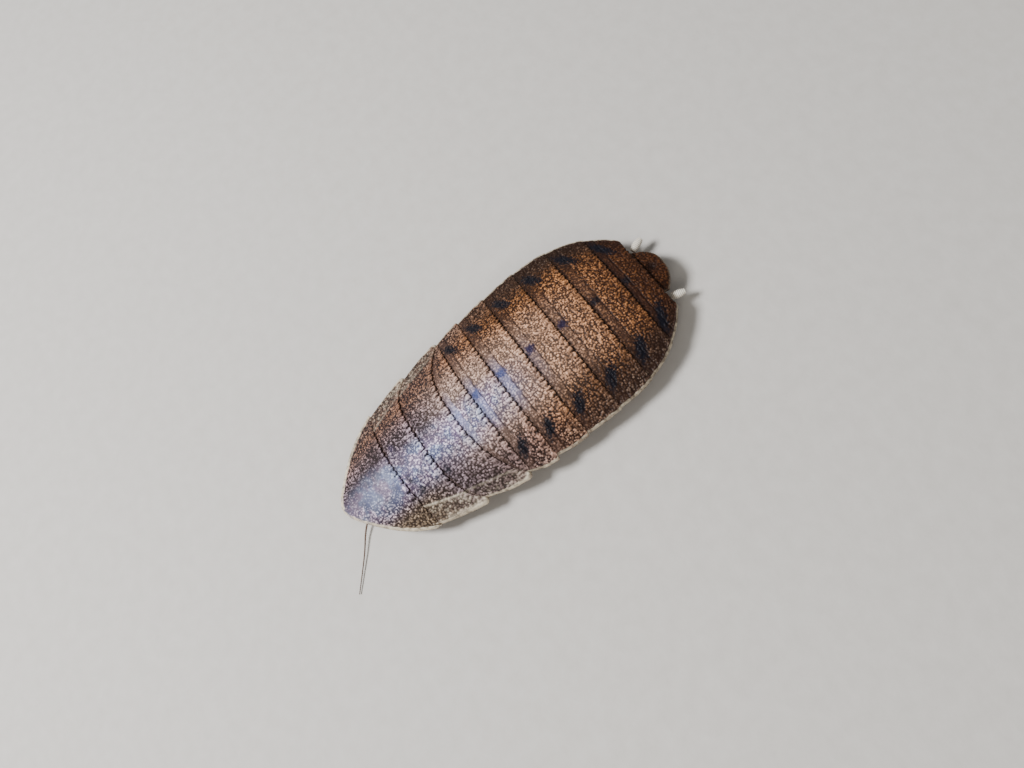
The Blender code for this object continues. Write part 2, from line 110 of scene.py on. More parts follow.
class Wire:
    """One output of a material's nodes: sums, products and powers of it add Math nodes."""

    def __init__(self, tree, socket):
        self.tree = tree
        self.socket = socket

    def math(self, operation, *values, clamp=False):
        """The output of a Math node that works on these values."""
        settings = {"operation": operation, "use_clamp": clamp}
        return add_node(self.tree, "ShaderNodeMath", settings, dict(enumerate(values)))

    def __add__(self, other):
        return self.math("ADD", self, other)

    def __mul__(self, other):
        return self.math("MULTIPLY", self, other)

    def __sub__(self, other):
        return self.math("SUBTRACT", self, other)

    def __rsub__(self, other):
        return self.math("SUBTRACT", other, self)

    def __pow__(self, other):
        return self.math("POWER", self, other)

    __radd__ = __add__
    __rmul__ = __mul__

    def clamped(self):
        """The same value, held between 0 and 1."""
        return self.math("ADD", self, 0.0, clamp=True)


def fill(socket, value):
    """Links a wire to a socket, or sets the socket to a plain value."""
    if isinstance(value, Wire):
        value.tree.links.new(value.socket, socket)
    else:
        socket.default_value = value


def add_node(tree, kind, settings=None, sockets=None, output=0):
    """Any node of a material: its settings first, then the values or links of its sockets."""
    node = tree.nodes.new(kind)
    for name, value in (settings or {}).items():
        setattr(node, name, value)
    for name, value in (sockets or {}).items():
        fill(node.inputs[name], value)
    return Wire(tree, node.outputs[output])


def blend(share, low, high):
    """A colour between two, each a linear red, green and blue triple or a wire: low at 0 and high at 1."""
    low, high = ((*value, 1.0) if isinstance(value, tuple) else value for value in (low, high))
    sockets = {"Factor": share, 6: low, 7: high}
    return add_node(share.tree, "ShaderNodeMix", {"data_type": "RGBA"}, sockets, 2)


def new_material(name):
    """A material with its Principled shader, its tree and its Object coordinates."""
    material = bpy.data.materials.new(name)
    material.use_nodes = True
    tree = material.node_tree
    places = add_node(tree, "ShaderNodeTexCoord", output="Object")
    return material, tree, tree.nodes["Principled BSDF"], places


def connect(shader, **sockets):
    """Links or sets the shader's own sockets, named with underscores for spaces."""
    for name, value in sockets.items():
        fill(shader.inputs[name.replace("_", " ")], value)


def noise(places, scale, detail=2.0, roughness=0.5):
    """Soft random values, with so many swells to the metre."""
    sockets = {"Vector": places, "Scale": scale, "Detail": detail, "Roughness": roughness}
    return add_node(places.tree, "ShaderNodeTexNoise", None, sockets)


def bump(height, distance, strength=1.0):
    """A relief too fine for the mesh, which is only shaded."""
    sockets = {"Height": height, "Distance": distance, "Strength": strength}
    return add_node(height.tree, "ShaderNodeBump", None, sockets)


def measures(tree, names):
    """The values that a mesh holds at its points under these names."""
    settings = [{"attribute_name": name} for name in names.split()]
    return [add_node(tree, "ShaderNodeAttribute", setting, None, "Fac") for setting in settings]


def add_piece(name, data, material, slot, *replaced):
    """A finished piece, at the origin, that rides on the body and stands for one or more CAD nodes."""
    piece = bpy.data.objects.new(name, data)
    bpy.context.scene.collection.objects.link(piece)
    data.materials.append(material)
    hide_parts(*replaced)
    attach(piece, "root")


def mesh_data(name, mesh):
    """The mesh of a piece, from a shape that is ready."""
    data = bpy.data.meshes.new(name)
    mesh.to_mesh(data)
    mesh.free()
    return data


floor_shape = bmesh.new()
bmesh.ops.create_grid(floor_shape, x_segments=1, y_segments=1, size=FLOOR_HALF_SIDE)
floor_data = mesh_data("floor", floor_shape)
floor = bpy.data.objects.new("floor", floor_data)
bpy.context.scene.collection.objects.link(floor)
floor_material, tree, shader, places = new_material("floor_paper")
speckle = noise(places, 900.0, 3.0)
connect(
    shader,
    Base_Color=blend(speckle, (0.6, 0.56, 0.5), (0.7, 0.66, 0.6)),
    Roughness=0.9,
    Normal=bump(speckle, 0.0001, 0.3),
)
floor_data.materials.append(floor_material)

# Plates of the back: the neck shield, two thorax plates and seven abdomen plates.
# Each is a stiff sheet of shell covered in rounded grains. Its rear edge is cut into a comb of short grooves
# and lies over the plate behind, whose smooth front band slips under it. The side rims are thick and pale.
LENGTH = 28.0 * MM
HALF_WIDTH = 6.5 * MM
WIDEST_BACK = 18.8 * MM
FRONT_TAPER = 20.5 * MM
REAR_TAPER = 9.2 * MM
SHIELD_HALF_WIDTH = 4.85 * MM
SHIELD_NOSE_LENGTH = 0.97 * MM
SHIELD_NOSE_WIDTH = 1.0 * MM
SHIELD_SHOULDER = 1.07 * MM
FRONT_SWAY = 0.45 * MM
REAR_SWAY = 0.22 * MM
MARGIN_HEIGHT = 1.7 * MM
MARGIN_DROP = 0.25 * MM
RISE = 2.2 * MM
CORNER_FLARE = 0.12 * MM
GRID_STEP = 0.034 * MM
GRAIN_PITCH = 0.140 * MM
GRAIN_HEIGHT = 0.072 * MM
GRAIN_STRETCH = 0.85  # a grain's width over its length
COMB_GROOVE = 0.072 * MM
COMB_DEPTH = 0.13 * MM
FRINGE_HEIGHT = 0.055 * MM
CREASE_HEIGHT = 0.07 * MM
BAND_LINE_DEPTH = 0.07 * MM
TUCK = 0.45 * MM  # how far each plate goes on under the one in front
# In millimetres: a plate's rear edge on the midline, that edge's sweep at the sides and the power of it, how
# far the side starts inside the plate before, the corner's rounding, the rim's width and the comb's pitch.
plate_fields = "name midline sweep power scallop rounding rim comb_pitch slot"
Plate = namedtuple("Plate", plate_fields, defaults=(0.11, 0.42, "abdomen_plate"))
PLATES = (
    Plate("pronotum", 4.98, 0.32, 3, 0.0, 0.1, 0.18, 0.55, "shield_plate"),
    Plate("mesonotum", 7.54, 1.35, 5, 0.08, 0.42, 0.12, 0.55, "thorax_plate"),
    Plate("metanotum", 10.37, 1.78, 3, 0.3, 0.38, 0.12, 0.55, "thorax_plate"),
    Plate("tergite_1", 12.1, 0.15, 2, 0.0, 0.0),
    Plate("tergite_2", 14.21, 0.04, 4, 0.32, 0.22),
    Plate("tergite_3", 16.66, 0.06, 4, 0.2, 0.16),
    Plate("tergite_4", 19.35, 0.14, 4, 0.1, 0.14),
    Plate("tergite_5", 22.06, 0.17, 4, 0.06, 0.14),
    Plate("tergite_6", 24.69, 0.18, 4, 0.06, 0.2),
    Plate("tergite_7", 26.58, 0.15, 4, 0.05, 0.2),
)
SHIELD, MESO, META, FIRST_TERGITE = range(4)
HIDDEN_SIDE_REACH = 0.92  # the first tergite ends at this share, under the side lobes in front
BAND_END = 0.30  # the smooth front band's share of a tergite's visible length
SPOT_SIDE = 0.72  # the side spots lie at this share of the half width
MIDDLE_SPOT_SHARE = 0.17  # where the spots lie along the visible length
SIDE_SPOT_SHARE = 0.30
LOBE_CREASES = {MESO: (0.7, 0.8), META: (0.78, 0.86)}  # share of the half width, front and rear
THORAX_SPOTS = {MESO: ((-1.1, 5.55), (1.5, 5.45), (2.6, 5.75)), META: ((2.55, 7.95),)}


def step(values, start, end):
    """0 before start, 1 after end, and an S-shaped change between them, for whole arrays."""
    share = np.clip((values - start) / (end - start), 0.0, 1.0)
    return share * share * (3.0 - 2.0 * share)


def hump(distance, width):
    """1 on a line, and next to nothing at two widths from it."""
    return np.exp(-((distance / width) ** 2))


def edge_curve(distance, width):
    """1 at an edge, and 0 from a width inside it, in a curve."""
    return (1.0 - np.clip(distance / width, 0, 1)) ** 2


def shield_front(side):
    """How far back the front edge of the neck shield lies at each place across."""
    nose = SHIELD_NOSE_LENGTH * (np.hypot(1.0, side / SHIELD_NOSE_WIDTH) - 1.0)
    return nose + SHIELD_SHOULDER * (side / SHIELD_HALF_WIDTH) ** 6


def half_width(back):
    """Half the width of the outline at each place along the back."""
    rear = np.clip((back - WIDEST_BACK) / REAR_TAPER, 0.0, 1.0)
    rear_width = HALF_WIDTH * (1.0 - rear**2.6) ** 0.625
    front = np.clip((WIDEST_BACK - back) / FRONT_TAPER, 0.0, 0.95)
    side = HALF_WIDTH * np.sqrt(1.0 - front**2)
    rim = np.linspace(0.0, SHIELD_HALF_WIDTH, 400)
    shield = np.interp(back, shield_front(rim), rim)
    side = np.where(back < shield_front(SHIELD_HALF_WIDTH), np.minimum(side, shield), side)
    return np.where(back > WIDEST_BACK, rear_width, side)


def dome(back, side):
    """Height of the smooth surface that the plates follow: a low dome with a flat flange."""
    share = np.clip(np.abs(back - LENGTH / 2) / (LENGTH / 2), 0.0, 1.0)
    rise = RISE * (1.0 - share**2.2) ** 0.8
    across = np.clip(np.abs(side) / np.maximum(half_width(back), 0.3 * MM), 0.0, 1.0)
    margin = MARGIN_HEIGHT - MARGIN_DROP * np.maximum(0.0, 1.0 - back / (9.0 * MM))
    return margin + rise * (1.0 - across * across) ** 1.2


def sway(back):
    """How far the midline lies to the animal's right in the pose."""
    front = FRONT_SWAY * np.maximum(0.0, 1.0 - np.maximum(back, 0.0) / (6.0 * MM)) ** 2
    return front + REAR_SWAY * step(back, 12.0 * MM, 20.0 * MM)


def chance(column, row, seed):
    """A number from 0 to 1 for each cell of a grid, always the same for the same cell."""
    mixed = np.sin(column * 127.1 + row * 311.7 + seed * 74.7) * 43758.5453
    return mixed - np.floor(mixed)


def grains(side, back, pitch, seed, stretch=1.0):
    """Rounded grains, one in each cell of an uneven grid: their height, and a number for each grain."""
    column, row = np.floor(side / pitch), np.floor(back * stretch / pitch)
    nearest = np.full(side.shape, 9.0)
    tone = np.zeros(side.shape)
    for right_by in (-1, 0, 1):
        for back_by in (-1, 0, 1):
            cell = column + right_by, row + back_by
            centre_side = (cell[0] + 0.5 + 0.85 * (chance(*cell, seed) - 0.5)) * pitch
            centre_back = (cell[1] + 0.5 + 0.85 * (chance(*cell, seed + 1) - 0.5)) * pitch
            size = chance(*cell, seed + 2)
            reach = pitch * (0.30 + 0.34 * size)
            distance = np.hypot(side - centre_side, back * stretch - centre_back) / reach
            tone = np.where(distance < nearest, chance(*cell, seed + 3), tone)
            nearest = np.minimum(nearest, distance)
    return np.sqrt(np.clip(1.0 - nearest**2, 0.0, 1.0)) * (0.55 + 0.45 * tone), tone


def waves(side, back, pitch, seed):
    """Soft random swells with about this pitch, from -1 to 1."""
    total = np.zeros(side.shape)
    for number in range(5):
        angle = 2.4 * number + seed
        size = 1.0 + 0.35 * number
        run = side * math.cos(angle) + back * math.sin(angle)
        total += np.sin(run * 2 * math.pi * size / pitch + angle * 7.0)
    return total / 3.2


def comb(side, seed, pitch):
    """Grooves of a rear edge: 1 in the middle of a groove and 0 between them, at uneven steps."""
    draw = random.Random(seed)
    centres = [-8.0 * MM]
    while centres[-1] < 8.0 * MM:
        centres.append(centres[-1] + pitch * draw.uniform(0.7, 1.3))
    depths = np.array([draw.uniform(0.55, 1.0) for _ in centres])
    centres = np.array(centres)
    after = np.clip(np.searchsorted(centres, side), 1, len(centres) - 1)
    groove = np.zeros(side.shape)
    for index in (after - 1, after):
        groove = np.maximum(groove, depths[index] * hump(side - centres[index], COMB_GROOVE))
    return groove


def rear_line(index, across):
    """The rear edge of a plate."""
    plate = PLATES[index]
    return (plate.midline + plate.sweep * np.abs(across) ** plate.power) * MM


def line_before(index, across):
    """The edge of the plates in front, from which this plate shows."""
    if index == SHIELD:
        return shield_front(np.abs(across) * SHIELD_HALF_WIDTH)
    lines = [rear_line(before, across) for before in range(index)]
    if index > FIRST_TERGITE:
        covered = np.abs(across) < HIDDEN_SIDE_REACH
        lines[FIRST_TERGITE] = np.where(covered, lines[FIRST_TERGITE], 0.0)
    return np.maximum.reduce(lines)


def shown_length(index):
    """How much of a plate shows on the midline."""
    return float(rear_line(index, 0.0) - line_before(index, np.zeros(1))[0])


def read_points(data):
    """The places of a mesh's points, a row each."""
    unit = np.empty(len(data.vertices) * 3, np.float32)
    data.vertices.foreach_get("co", unit)
    return unit.reshape(-1, 3).astype(np.float64)


def put_points(data, side, back, height):
    """Moves a mesh's points to their world places, with the pose's sway."""
    world_places = np.stack([side - sway(back), back - LENGTH / 2, height], axis=1)
    data.vertices.foreach_set("co", world_places.astype(np.float32).ravel())
    data.update()


def put_marks(data, marks):
    """Writes named values to a mesh's points, for its colours to read."""
    for name, values in marks.items():
        layer = data.attributes.new(name, "FLOAT", "POINT")
        layer.data.foreach_set("value", values.astype(np.float32))


def slab_mesh(name, columns, rows, place):
    """A closed sheet from a grid: place turns across, along and level into side, back, height and marks.

    Across runs from -1 to 1, along from 0 to 1, and level is 0 on the lower face and 1 on the upper.
    """
    mesh = bmesh.new()
    bmesh.ops.create_grid(mesh, x_segments=columns, y_segments=rows, size=1.0)
    extruded = bmesh.ops.extrude_face_region(mesh, geom=mesh.faces[:])
    upper = [item for item in extruded["geom"] if isinstance(item, bmesh.types.BMVert)]
    bmesh.ops.translate(mesh, verts=upper, vec=(0.0, 0.0, 1.0))
    bmesh.ops.recalc_face_normals(mesh, faces=mesh.faces)
    data = mesh_data(name, mesh)
    unit = read_points(data)
    side, back, height, marks = place(unit[:, 0], (unit[:, 1] + 1.0) / 2.0, unit[:, 2])
    put_points(data, side, back, height)
    put_marks(data, marks)
    data.shade_smooth()
    return data


def band_spots(index, side, back, shown):
    """The dark spots in a tergite's front band: one on the midline and one to each side."""
    length = shown_length(index)
    ragged = 1.0 + 0.35 * waves(side, back, 0.5 * MM, index)
    size = (1.0 + 0.06 * (index - FIRST_TERGITE - 1)) * MM
    middle = np.hypot(side / (0.33 * MM), (shown - MIDDLE_SPOT_SHARE) * length / (0.38 * MM))
    marks = np.exp(-((middle * ragged) ** 5))
    for sign in (-1, 1):
        lean = 0.8 * (shown - SIDE_SPOT_SHARE) * length
        lateral = (side - sign * (SPOT_SIDE * half_width(back) - lean)) / (0.50 * size)
        lengthwise = (shown - SIDE_SPOT_SHARE) * length / (0.52 * size)
        marks = np.maximum(marks, np.exp(-((np.hypot(lateral, lengthwise) * ragged) ** 5)))
    return marks


def thorax_spots(index, side, back, ragged):
    """The few dark blots on the thorax plates."""
    marks = np.zeros(side.shape)
    for spot_side, spot_back in THORAX_SPOTS.get(index, ()):
        gap = np.hypot(side - spot_side * MM, (back - spot_back * MM) * 1.3) / (0.34 * MM)
        marks = np.maximum(marks, 0.8 * np.exp(-((gap * (1.0 + 0.3 * ragged)) ** 3)))
    return marks


def shield_slope(side):
    """How steeply the front edge of the neck shield runs back."""
    sides = np.linspace(0.0, SHIELD_HALF_WIDTH, 300)
    return np.interp(np.abs(side), sides, np.gradient(shield_front(sides), sides))


def cut_corners(index, across, side, shown, to_rear):
    """The side after the plate's scalloped front, its rounded rear corner and the corner's slight flare."""
    rounding = PLATES[index].rounding * MM
    tip = np.clip(to_rear / max(rounding, 0.01 * MM), 0.0, 1.0)
    inset = PLATES[index].scallop * MM * (1.0 - step(shown, -0.1, 0.62))
    inset = inset + rounding * (1.0 - np.sqrt(1.0 - (1.0 - tip) ** 2))
    inset = inset * np.where((index >= FIRST_TERGITE) & (across < 0), 0.5, 1.0)
    side = side - np.sign(across) * np.abs(across) ** 7 * inset
    flare = CORNER_FLARE * (0.3 if index > FIRST_TERGITE + 1 else 1.0)
    return side + flare * across * np.abs(across) ** 8 * np.clip(shown, 0, 1) ** 2


def lobe_crease(index, side, back, shown):
    """The fine ridge that sets off each side lobe of a thorax plate, and the lobe outside it."""
    if index not in LOBE_CREASES:
        return np.zeros(side.shape), np.zeros(side.shape)
    front_share, rear_share = LOBE_CREASES[index]
    crease_at = front_share + (rear_share - front_share) * np.clip(shown, 0.0, 1.0)
    offset = (np.abs(side) / half_width(back) - crease_at) * half_width(back)
    crease = hump(offset, 0.08 * MM) * (1.0 - 0.25 * step(shown, 0.7, 1.0))
    crease = crease * np.where((side > 0) & (index == META), 0.35, 1.0)
    return crease, step(offset, 0.0, 0.25 * MM) * (1.0 if index == MESO else 0.55)


def grain_relief(index, side, back, band, flank, to_rear):
    """Grains, from 0 to 1: lower in a front band and in the middle of the shield and the thorax plates."""
    height, tone = grains(side, back, GRAIN_PITCH, 3 + index, GRAIN_STRETCH)
    strength = 1.0 - 0.3 * band
    if index == SHIELD:
        strength = 0.40 + 0.60 * step(flank, 0.22, 0.72)
        strength = np.maximum(strength, 0.8 * (1.0 - step(to_rear, 0.2 * MM, 0.8 * MM)))
    elif index < FIRST_TERGITE:
        strength = strength * (1.0 - 0.25 * hump(side, 2.4 * MM))
    swells = waves(side, back, 0.8 * MM, index + 0.5)
    return height * strength * np.clip(0.86 + 0.5 * swells, 0.35, 1.1), tone


def rear_comb(index, side, ragged, flank, to_rear):
    """The comb of grooves at a plate's rear edge, and the fine fringe between them."""
    toothed = 1.0 - 0.09 * max(0, index - FIRST_TERGITE)
    middle = 1.0 - step(flank, 0.55, 0.8)
    groove = comb(side + 0.02 * MM * ragged, 11 + index, PLATES[index].comb_pitch * MM)
    groove = groove * (1.0 - step(to_rear, 0.24 * MM, 0.36 * MM)) * (0.35 + 0.65 * middle) * toothed
    fine = 0.5 + 0.5 * np.sin(2 * math.pi * (side / (0.25 * MM) + 0.45 * ragged))
    fringe = fine * (1.0 - step(to_rear, 0.25 * MM, 0.55 * MM)) * (0.35 if index == SHIELD else toothed)
    return groove, fringe


def build_plate(index):
    """One back plate, with its relief and with the values that its colours need."""
    tergite = index >= FIRST_TERGITE
    thorax = index in LOBE_CREASES
    reach = HIDDEN_SIDE_REACH if index == FIRST_TERGITE else 1.0
    tuck = 0.0 if index == SHIELD else TUCK
    width = SHIELD_HALF_WIDTH if index == SHIELD else float(half_width(rear_line(index, np.zeros(1)))[0])

    def place(across, along, level):
        """The points of this plate and its marks, for shares of its width, its length and its thickness."""
        before = line_before(index, across * reach)
        rear = rear_line(index, across * reach)
        front = before - tuck
        back = front + along * (rear - front)
        to_rear = rear - back
        shown = (back - before) / np.maximum(rear - before, 0.1 * MM)
        if index == SHIELD:
            side = across * SHIELD_HALF_WIDTH
            rim_distance = (back - front) / np.hypot(1.0, shield_slope(side))
        else:
            side = across * reach * half_width(back)
            rim_distance = half_width(back) * (1.0 - np.abs(across) * reach)
        side = cut_corners(index, across, side, shown, to_rear)
        flank = np.abs(side) / np.maximum(half_width(back), 1.0 * MM)
        ragged = waves(side, back, 1.1 * MM, index)

        band = line = np.zeros(side.shape)
        if tergite:
            band = 1.0 - step(shown + 0.02 * ragged, BAND_END - 0.03, BAND_END + 0.02)
        elif thorax:
            band = 1.0 - step(shown, 0.01, 0.06)
        if index > FIRST_TERGITE:
            from_band = (shown + 0.02 * ragged - BAND_END) * (rear - before)
            line = (0.65 + 0.35 * ragged) * hump(from_band, 0.045 * MM)
            spot = band_spots(index, side, back, shown)
        else:
            spot = thorax_spots(index, side, back, ragged)
        grain, tone = grain_relief(index, side, back, band, flank, to_rear)
        groove, fringe = rear_comb(index, side, ragged, flank, to_rear)
        crease, lobe = lobe_crease(index, side, back, shown)

        rim_width = PLATES[index].rim * MM * (1.0 + 0.6 * thorax * step(shown, 0.45, 0.95))
        rim_width = rim_width * np.where((side < 0) & (not thorax), 1.6, 1.0)
        rim = 1.0 - step(rim_distance + 0.03 * MM * ragged, rim_width * 0.8, rim_width * 1.2)
        # The crease ridges are pale, and painted paler on the left side than on the right as a highlight
        # along the ridge.
        ridge = np.where(side > 0, 0.85, 0.3) * crease
        speckled_rim = 0.60 * (1.0 - step(rim_distance, 0.14 * MM, 0.46 * MM)) * step(shown, 0.1, 0.5)
        speckled_rim = speckled_rim * ((side > 0) & (index == MESO))
        pale = np.maximum(rim * (0.82 if tergite else 1.0), np.maximum(ridge, speckled_rim))
        shade = (1.0 - step((back - before) / MM, 0.0, 0.32)) * (index > SHIELD)

        lift = np.where(shown > 0, 0.02 + 0.18 * np.clip(shown, 0, 1) ** 1.1, 0.02 + 0.9 * shown) * MM
        if index == SHIELD:
            lift = 0.2 * MM * np.clip(shown, 0, 1) ** 3
        sheet = dome(back, side) + lift * (1.0 - 0.6 * step(flank, 0.5, 0.95))
        relief = GRAIN_HEIGHT * grain + FRINGE_HEIGHT * fringe - COMB_DEPTH * groove
        relief = relief - BAND_LINE_DEPTH * line + CREASE_HEIGHT * crease + 0.015 * MM * ragged
        relief = relief * (1.0 - 0.65 * rim)
        bead = (0.045 if tergite else 0.07) * MM * hump(rim_distance - 0.14 * MM, 0.10 * MM)
        edge_fall = 0.16 * MM * edge_curve(rim_distance, 0.1 * MM)
        rear_fall = 0.06 * MM * edge_curve(to_rear, 0.1 * MM)
        top = sheet + relief + bead - edge_fall - rear_fall
        thickness = (0.13 + 0.2 * step(to_rear, 0.0, 0.7 * MM)) * MM
        thickness = thickness * (0.45 + 0.55 * step(rim_distance, 0.0, 0.5 * MM))
        bottom = sheet - thickness - 0.06 * MM * step(rim_distance, 0.0, 0.3 * MM)
        bottom = np.maximum(bottom, dome(back, side) - 0.55 * MM)
        height = np.where(level > 0.5, top, np.minimum(bottom, top - 0.05 * MM))
        toothed_back = back - 0.12 * MM * groove * (1.0 - step(to_rear, 0.0, 0.25 * MM))
        marks = {
            "grain": np.maximum(grain * (1.0 - line), 0.9 * fringe * (1.0 - groove)),
            "tone": tone,
            "band": band,
            # Painted shade: the comb's grooves and the crease line behind the front band are painted dark.
            "groove": np.maximum(groove, 0.85 * line * (1.0 - step(flank, 0.6, 0.85))) * level,
            "pale": pale * level,
            "shade": shade * (1.0 - 0.7 * step(flank, 0.4, 0.85)),
            "lobe": lobe * level,
            "flank": step(flank, 0.62, 0.95),
            "spot": spot * level,
            "under": 1.0 - level,
        }
        return side, toothed_back, height, marks

    columns, rows = int(2 * width * reach / GRID_STEP), int((shown_length(index) + tuck) / GRID_STEP)
    return slab_mesh("plate_" + PLATES[index].name, columns, rows, place)


plate_material, tree, shader, places = new_material("grained_shell")


def coordinate(places, axis):
    """One coordinate of the places on a piece."""
    return add_node(places.tree, "ShaderNodeSeparateXYZ", None, {"Vector": places}, axis)


def smooth_range(value, start, end):
    """0 below start, 1 above end, and an S-shaped change between them."""
    sockets = {"Value": value, "From Min": start, "From Max": end}
    return add_node(value.tree, "ShaderNodeMapRange", {"interpolation_type": "SMOOTHSTEP"}, sockets)


def along_body(lengthwise, start, end):
    """0 in front of one place along the body and 1 behind another, in millimetres from the front."""
    return smooth_range(lengthwise, start * MM - LENGTH / 2, end * MM - LENGTH / 2)


def across_body(sideways, start, end):
    """0 before one place across the body and 1 beyond another, in millimetres from the midline."""
    return smooth_range(sideways, start * MM, end * MM)


def away_from(sideways, centre, start, end):
    """0 near a line along the body and 1 beyond a distance to either side of it, in millimetres."""
    offset = sideways - centre * MM
    return across_body(offset.math("ABSOLUTE", offset), start, end)


def coated(colour, *coats):
    """A colour under further coats, each with its share and its own colour."""
    for share, paint in coats:
        colour = blend(share, colour, paint)
    return colour


grain, tone, band, groove, pale = measures(tree, "grain tone band groove pale")
lobe, flank, spot, shade, under = measures(tree, "lobe flank spot shade under")
lengthwise, sideways = coordinate(places, "Y"), coordinate(places, "X")
patches = noise(places, 700.0, 3.0, 0.6)
cloud = noise(places, 300.0, 3.0, 0.6)
warm = along_body(lengthwise, 9.0, 17.5)
tail_end = along_body(lengthwise, 20.5, 27.0)

# The shell goes from cool brown at the head to warm brown at the tail. It has painted shade between the
# grains and painted highlights on the grain tops and on the fringe of each rear edge.
# Painted light: the left side of the front gets a lighter lilac pink copy of the shell and the right side a
# brown one, for the different light on the two sides.
far_side = across_body(sideways * -1.0, 0.8, 3.2)
near_shield = across_body(sideways, 2.0, 3.6) * (1.0 - along_body(lengthwise, 5.0, 8.5))
rear_flank = flank * along_body(lengthwise, 14.0, 24.0)
front_shell = blend(far_side, (0.64, 0.47, 0.53), (0.44, 0.215, 0.125))
light_shell = coated(
    blend(warm, front_shell, (0.84, 0.345, 0.115)),
    (flank * 0.6, (0.5, 0.34, 0.26)),
    (rear_flank * 0.9, blend(tone**3, (0.13, 0.065, 0.04), (0.62, 0.47, 0.34))),
    # Darker towards the tail: partly the shell's own colour and partly painted shade, where the tail slopes
    # away from the light.
    (tail_end * 0.95, (0.07, 0.022, 0.007)),
    (near_shield * 0.8, (0.56, 0.4, 0.22)),
)
# The shell's colour in the painted shade between the grains.
shell_in_painted_shade = blend(warm, (0.022, 0.013, 0.013), (0.026, 0.009, 0.004))
shell_in_painted_shade = blend(near_shield * 0.8, shell_in_painted_shade, (0.036, 0.021, 0.01))
mottle = smooth_range(noise(places, 1100.0, 2.0, 0.5), 0.5, 0.66)
# How far each place shows the lit colour: painted highlight on grain tops and the fringe, painted shade in
# the gaps, varied by each grain's own tone and by patches.
grain_tone_and_painted_light = ((grain - 0.12) * (0.50 + 0.95 * tone) + 0.30 * (patches - 0.42)).clamped()
grain_tone_and_painted_light = grain_tone_and_painted_light * (1.0 - 0.35 * mottle)
band_colour = blend(warm, (0.15, 0.085, 0.062), (0.06, 0.026, 0.015))
band_colour = blend(tail_end, band_colour, (0.022, 0.008, 0.005))

# A painted reflection of the sky, the sheen, lies on the shield and the thorax plates, left of the midline,
# in blotches of blue and lilac, brightest on the grain tops.
painted_sheen_side = sideways - 0.5 * MM * along_body(lengthwise, 2.0, 8.0)
painted_sheen = across_body(painted_sheen_side, -1.5, 0.3) * (1.0 - across_body(painted_sheen_side, 0.4, 3.2))
painted_sheen = painted_sheen * (1.0 - along_body(lengthwise, 11.5, 17.5)) * (0.55 + 0.45 * along_body(lengthwise, 1.0, 4.0))
painted_sheen = painted_sheen * (1.0 - 0.6 * across_body(sideways, 2.2, 3.6))
painted_sheen = painted_sheen * (0.60 + 0.60 * smooth_range(noise(places, 800.0, 4.0, 0.65), 0.36, 0.6))
smooth_shield = 1.0 - away_from(sideways, 0.2, 0.6, 2.6)
smooth_shield = smooth_shield * (1.0 - along_body(lengthwise, 4.3, 5.3))
painted_sheen_light = 0.06 + smooth_shield * (0.02 + 0.28 * patches)
painted_sheen_light = (painted_sheen_light + (1.60 - 0.20 * smooth_shield) * grain_tone_and_painted_light).clamped()
blotches = smooth_range(noise(places, 1300.0, 3.0, 0.6), 0.4, 0.6)
hue = smooth_range(noise(places, 900.0, 4.0, 0.6), 0.42, 0.58)
deep_painted_sheen = blend(hue, (0.05, 0.056, 0.145), (0.08, 0.051, 0.114))
light_painted_sheen = blend(hue, (0.73, 0.8, 1.0), (0.97, 0.795, 0.985))
painted_sheen_colour = blend(painted_sheen_light * (0.72 + 0.56 * blotches), deep_painted_sheen, light_painted_sheen)
# Painted sky reflection on the smooth front bands of the front abdomen plates, near the midline.
painted_band_sheen = band * (1.0 - away_from(sideways, 0.5, 0.0, 2.6)) * along_body(lengthwise, 10.0, 10.6)
painted_band_sheen = painted_band_sheen * (1.0 - along_body(lengthwise, 13.0, 18.5))

# Painted light: a rosy highlight lies along the middle of the abdomen, and both sides are darker with
# painted shade, but less so at the waist.
painted_midline_glow = (1.0 - away_from(sideways, 0.5, 1.6, 4.7)) * along_body(lengthwise, 7.5, 11.5)
painted_midline_glow = painted_midline_glow * (1.0 - along_body(lengthwise, 14.0, 25.0))
waist = along_body(lengthwise, 11.5, 13.0) * (1.0 - along_body(lengthwise, 15.5, 19.0))
painted_side_shade = away_from(sideways, -0.7, 2.9, 4.9) * (0.40 + 0.25 * warm) * (1.0 - 0.8 * waist)
# Painted shade on the right edge of the abdomen.
painted_far_edge_shade = across_body(sideways * -1.0, 2.2, 4.6) * along_body(lengthwise, 13.0, 16.0)

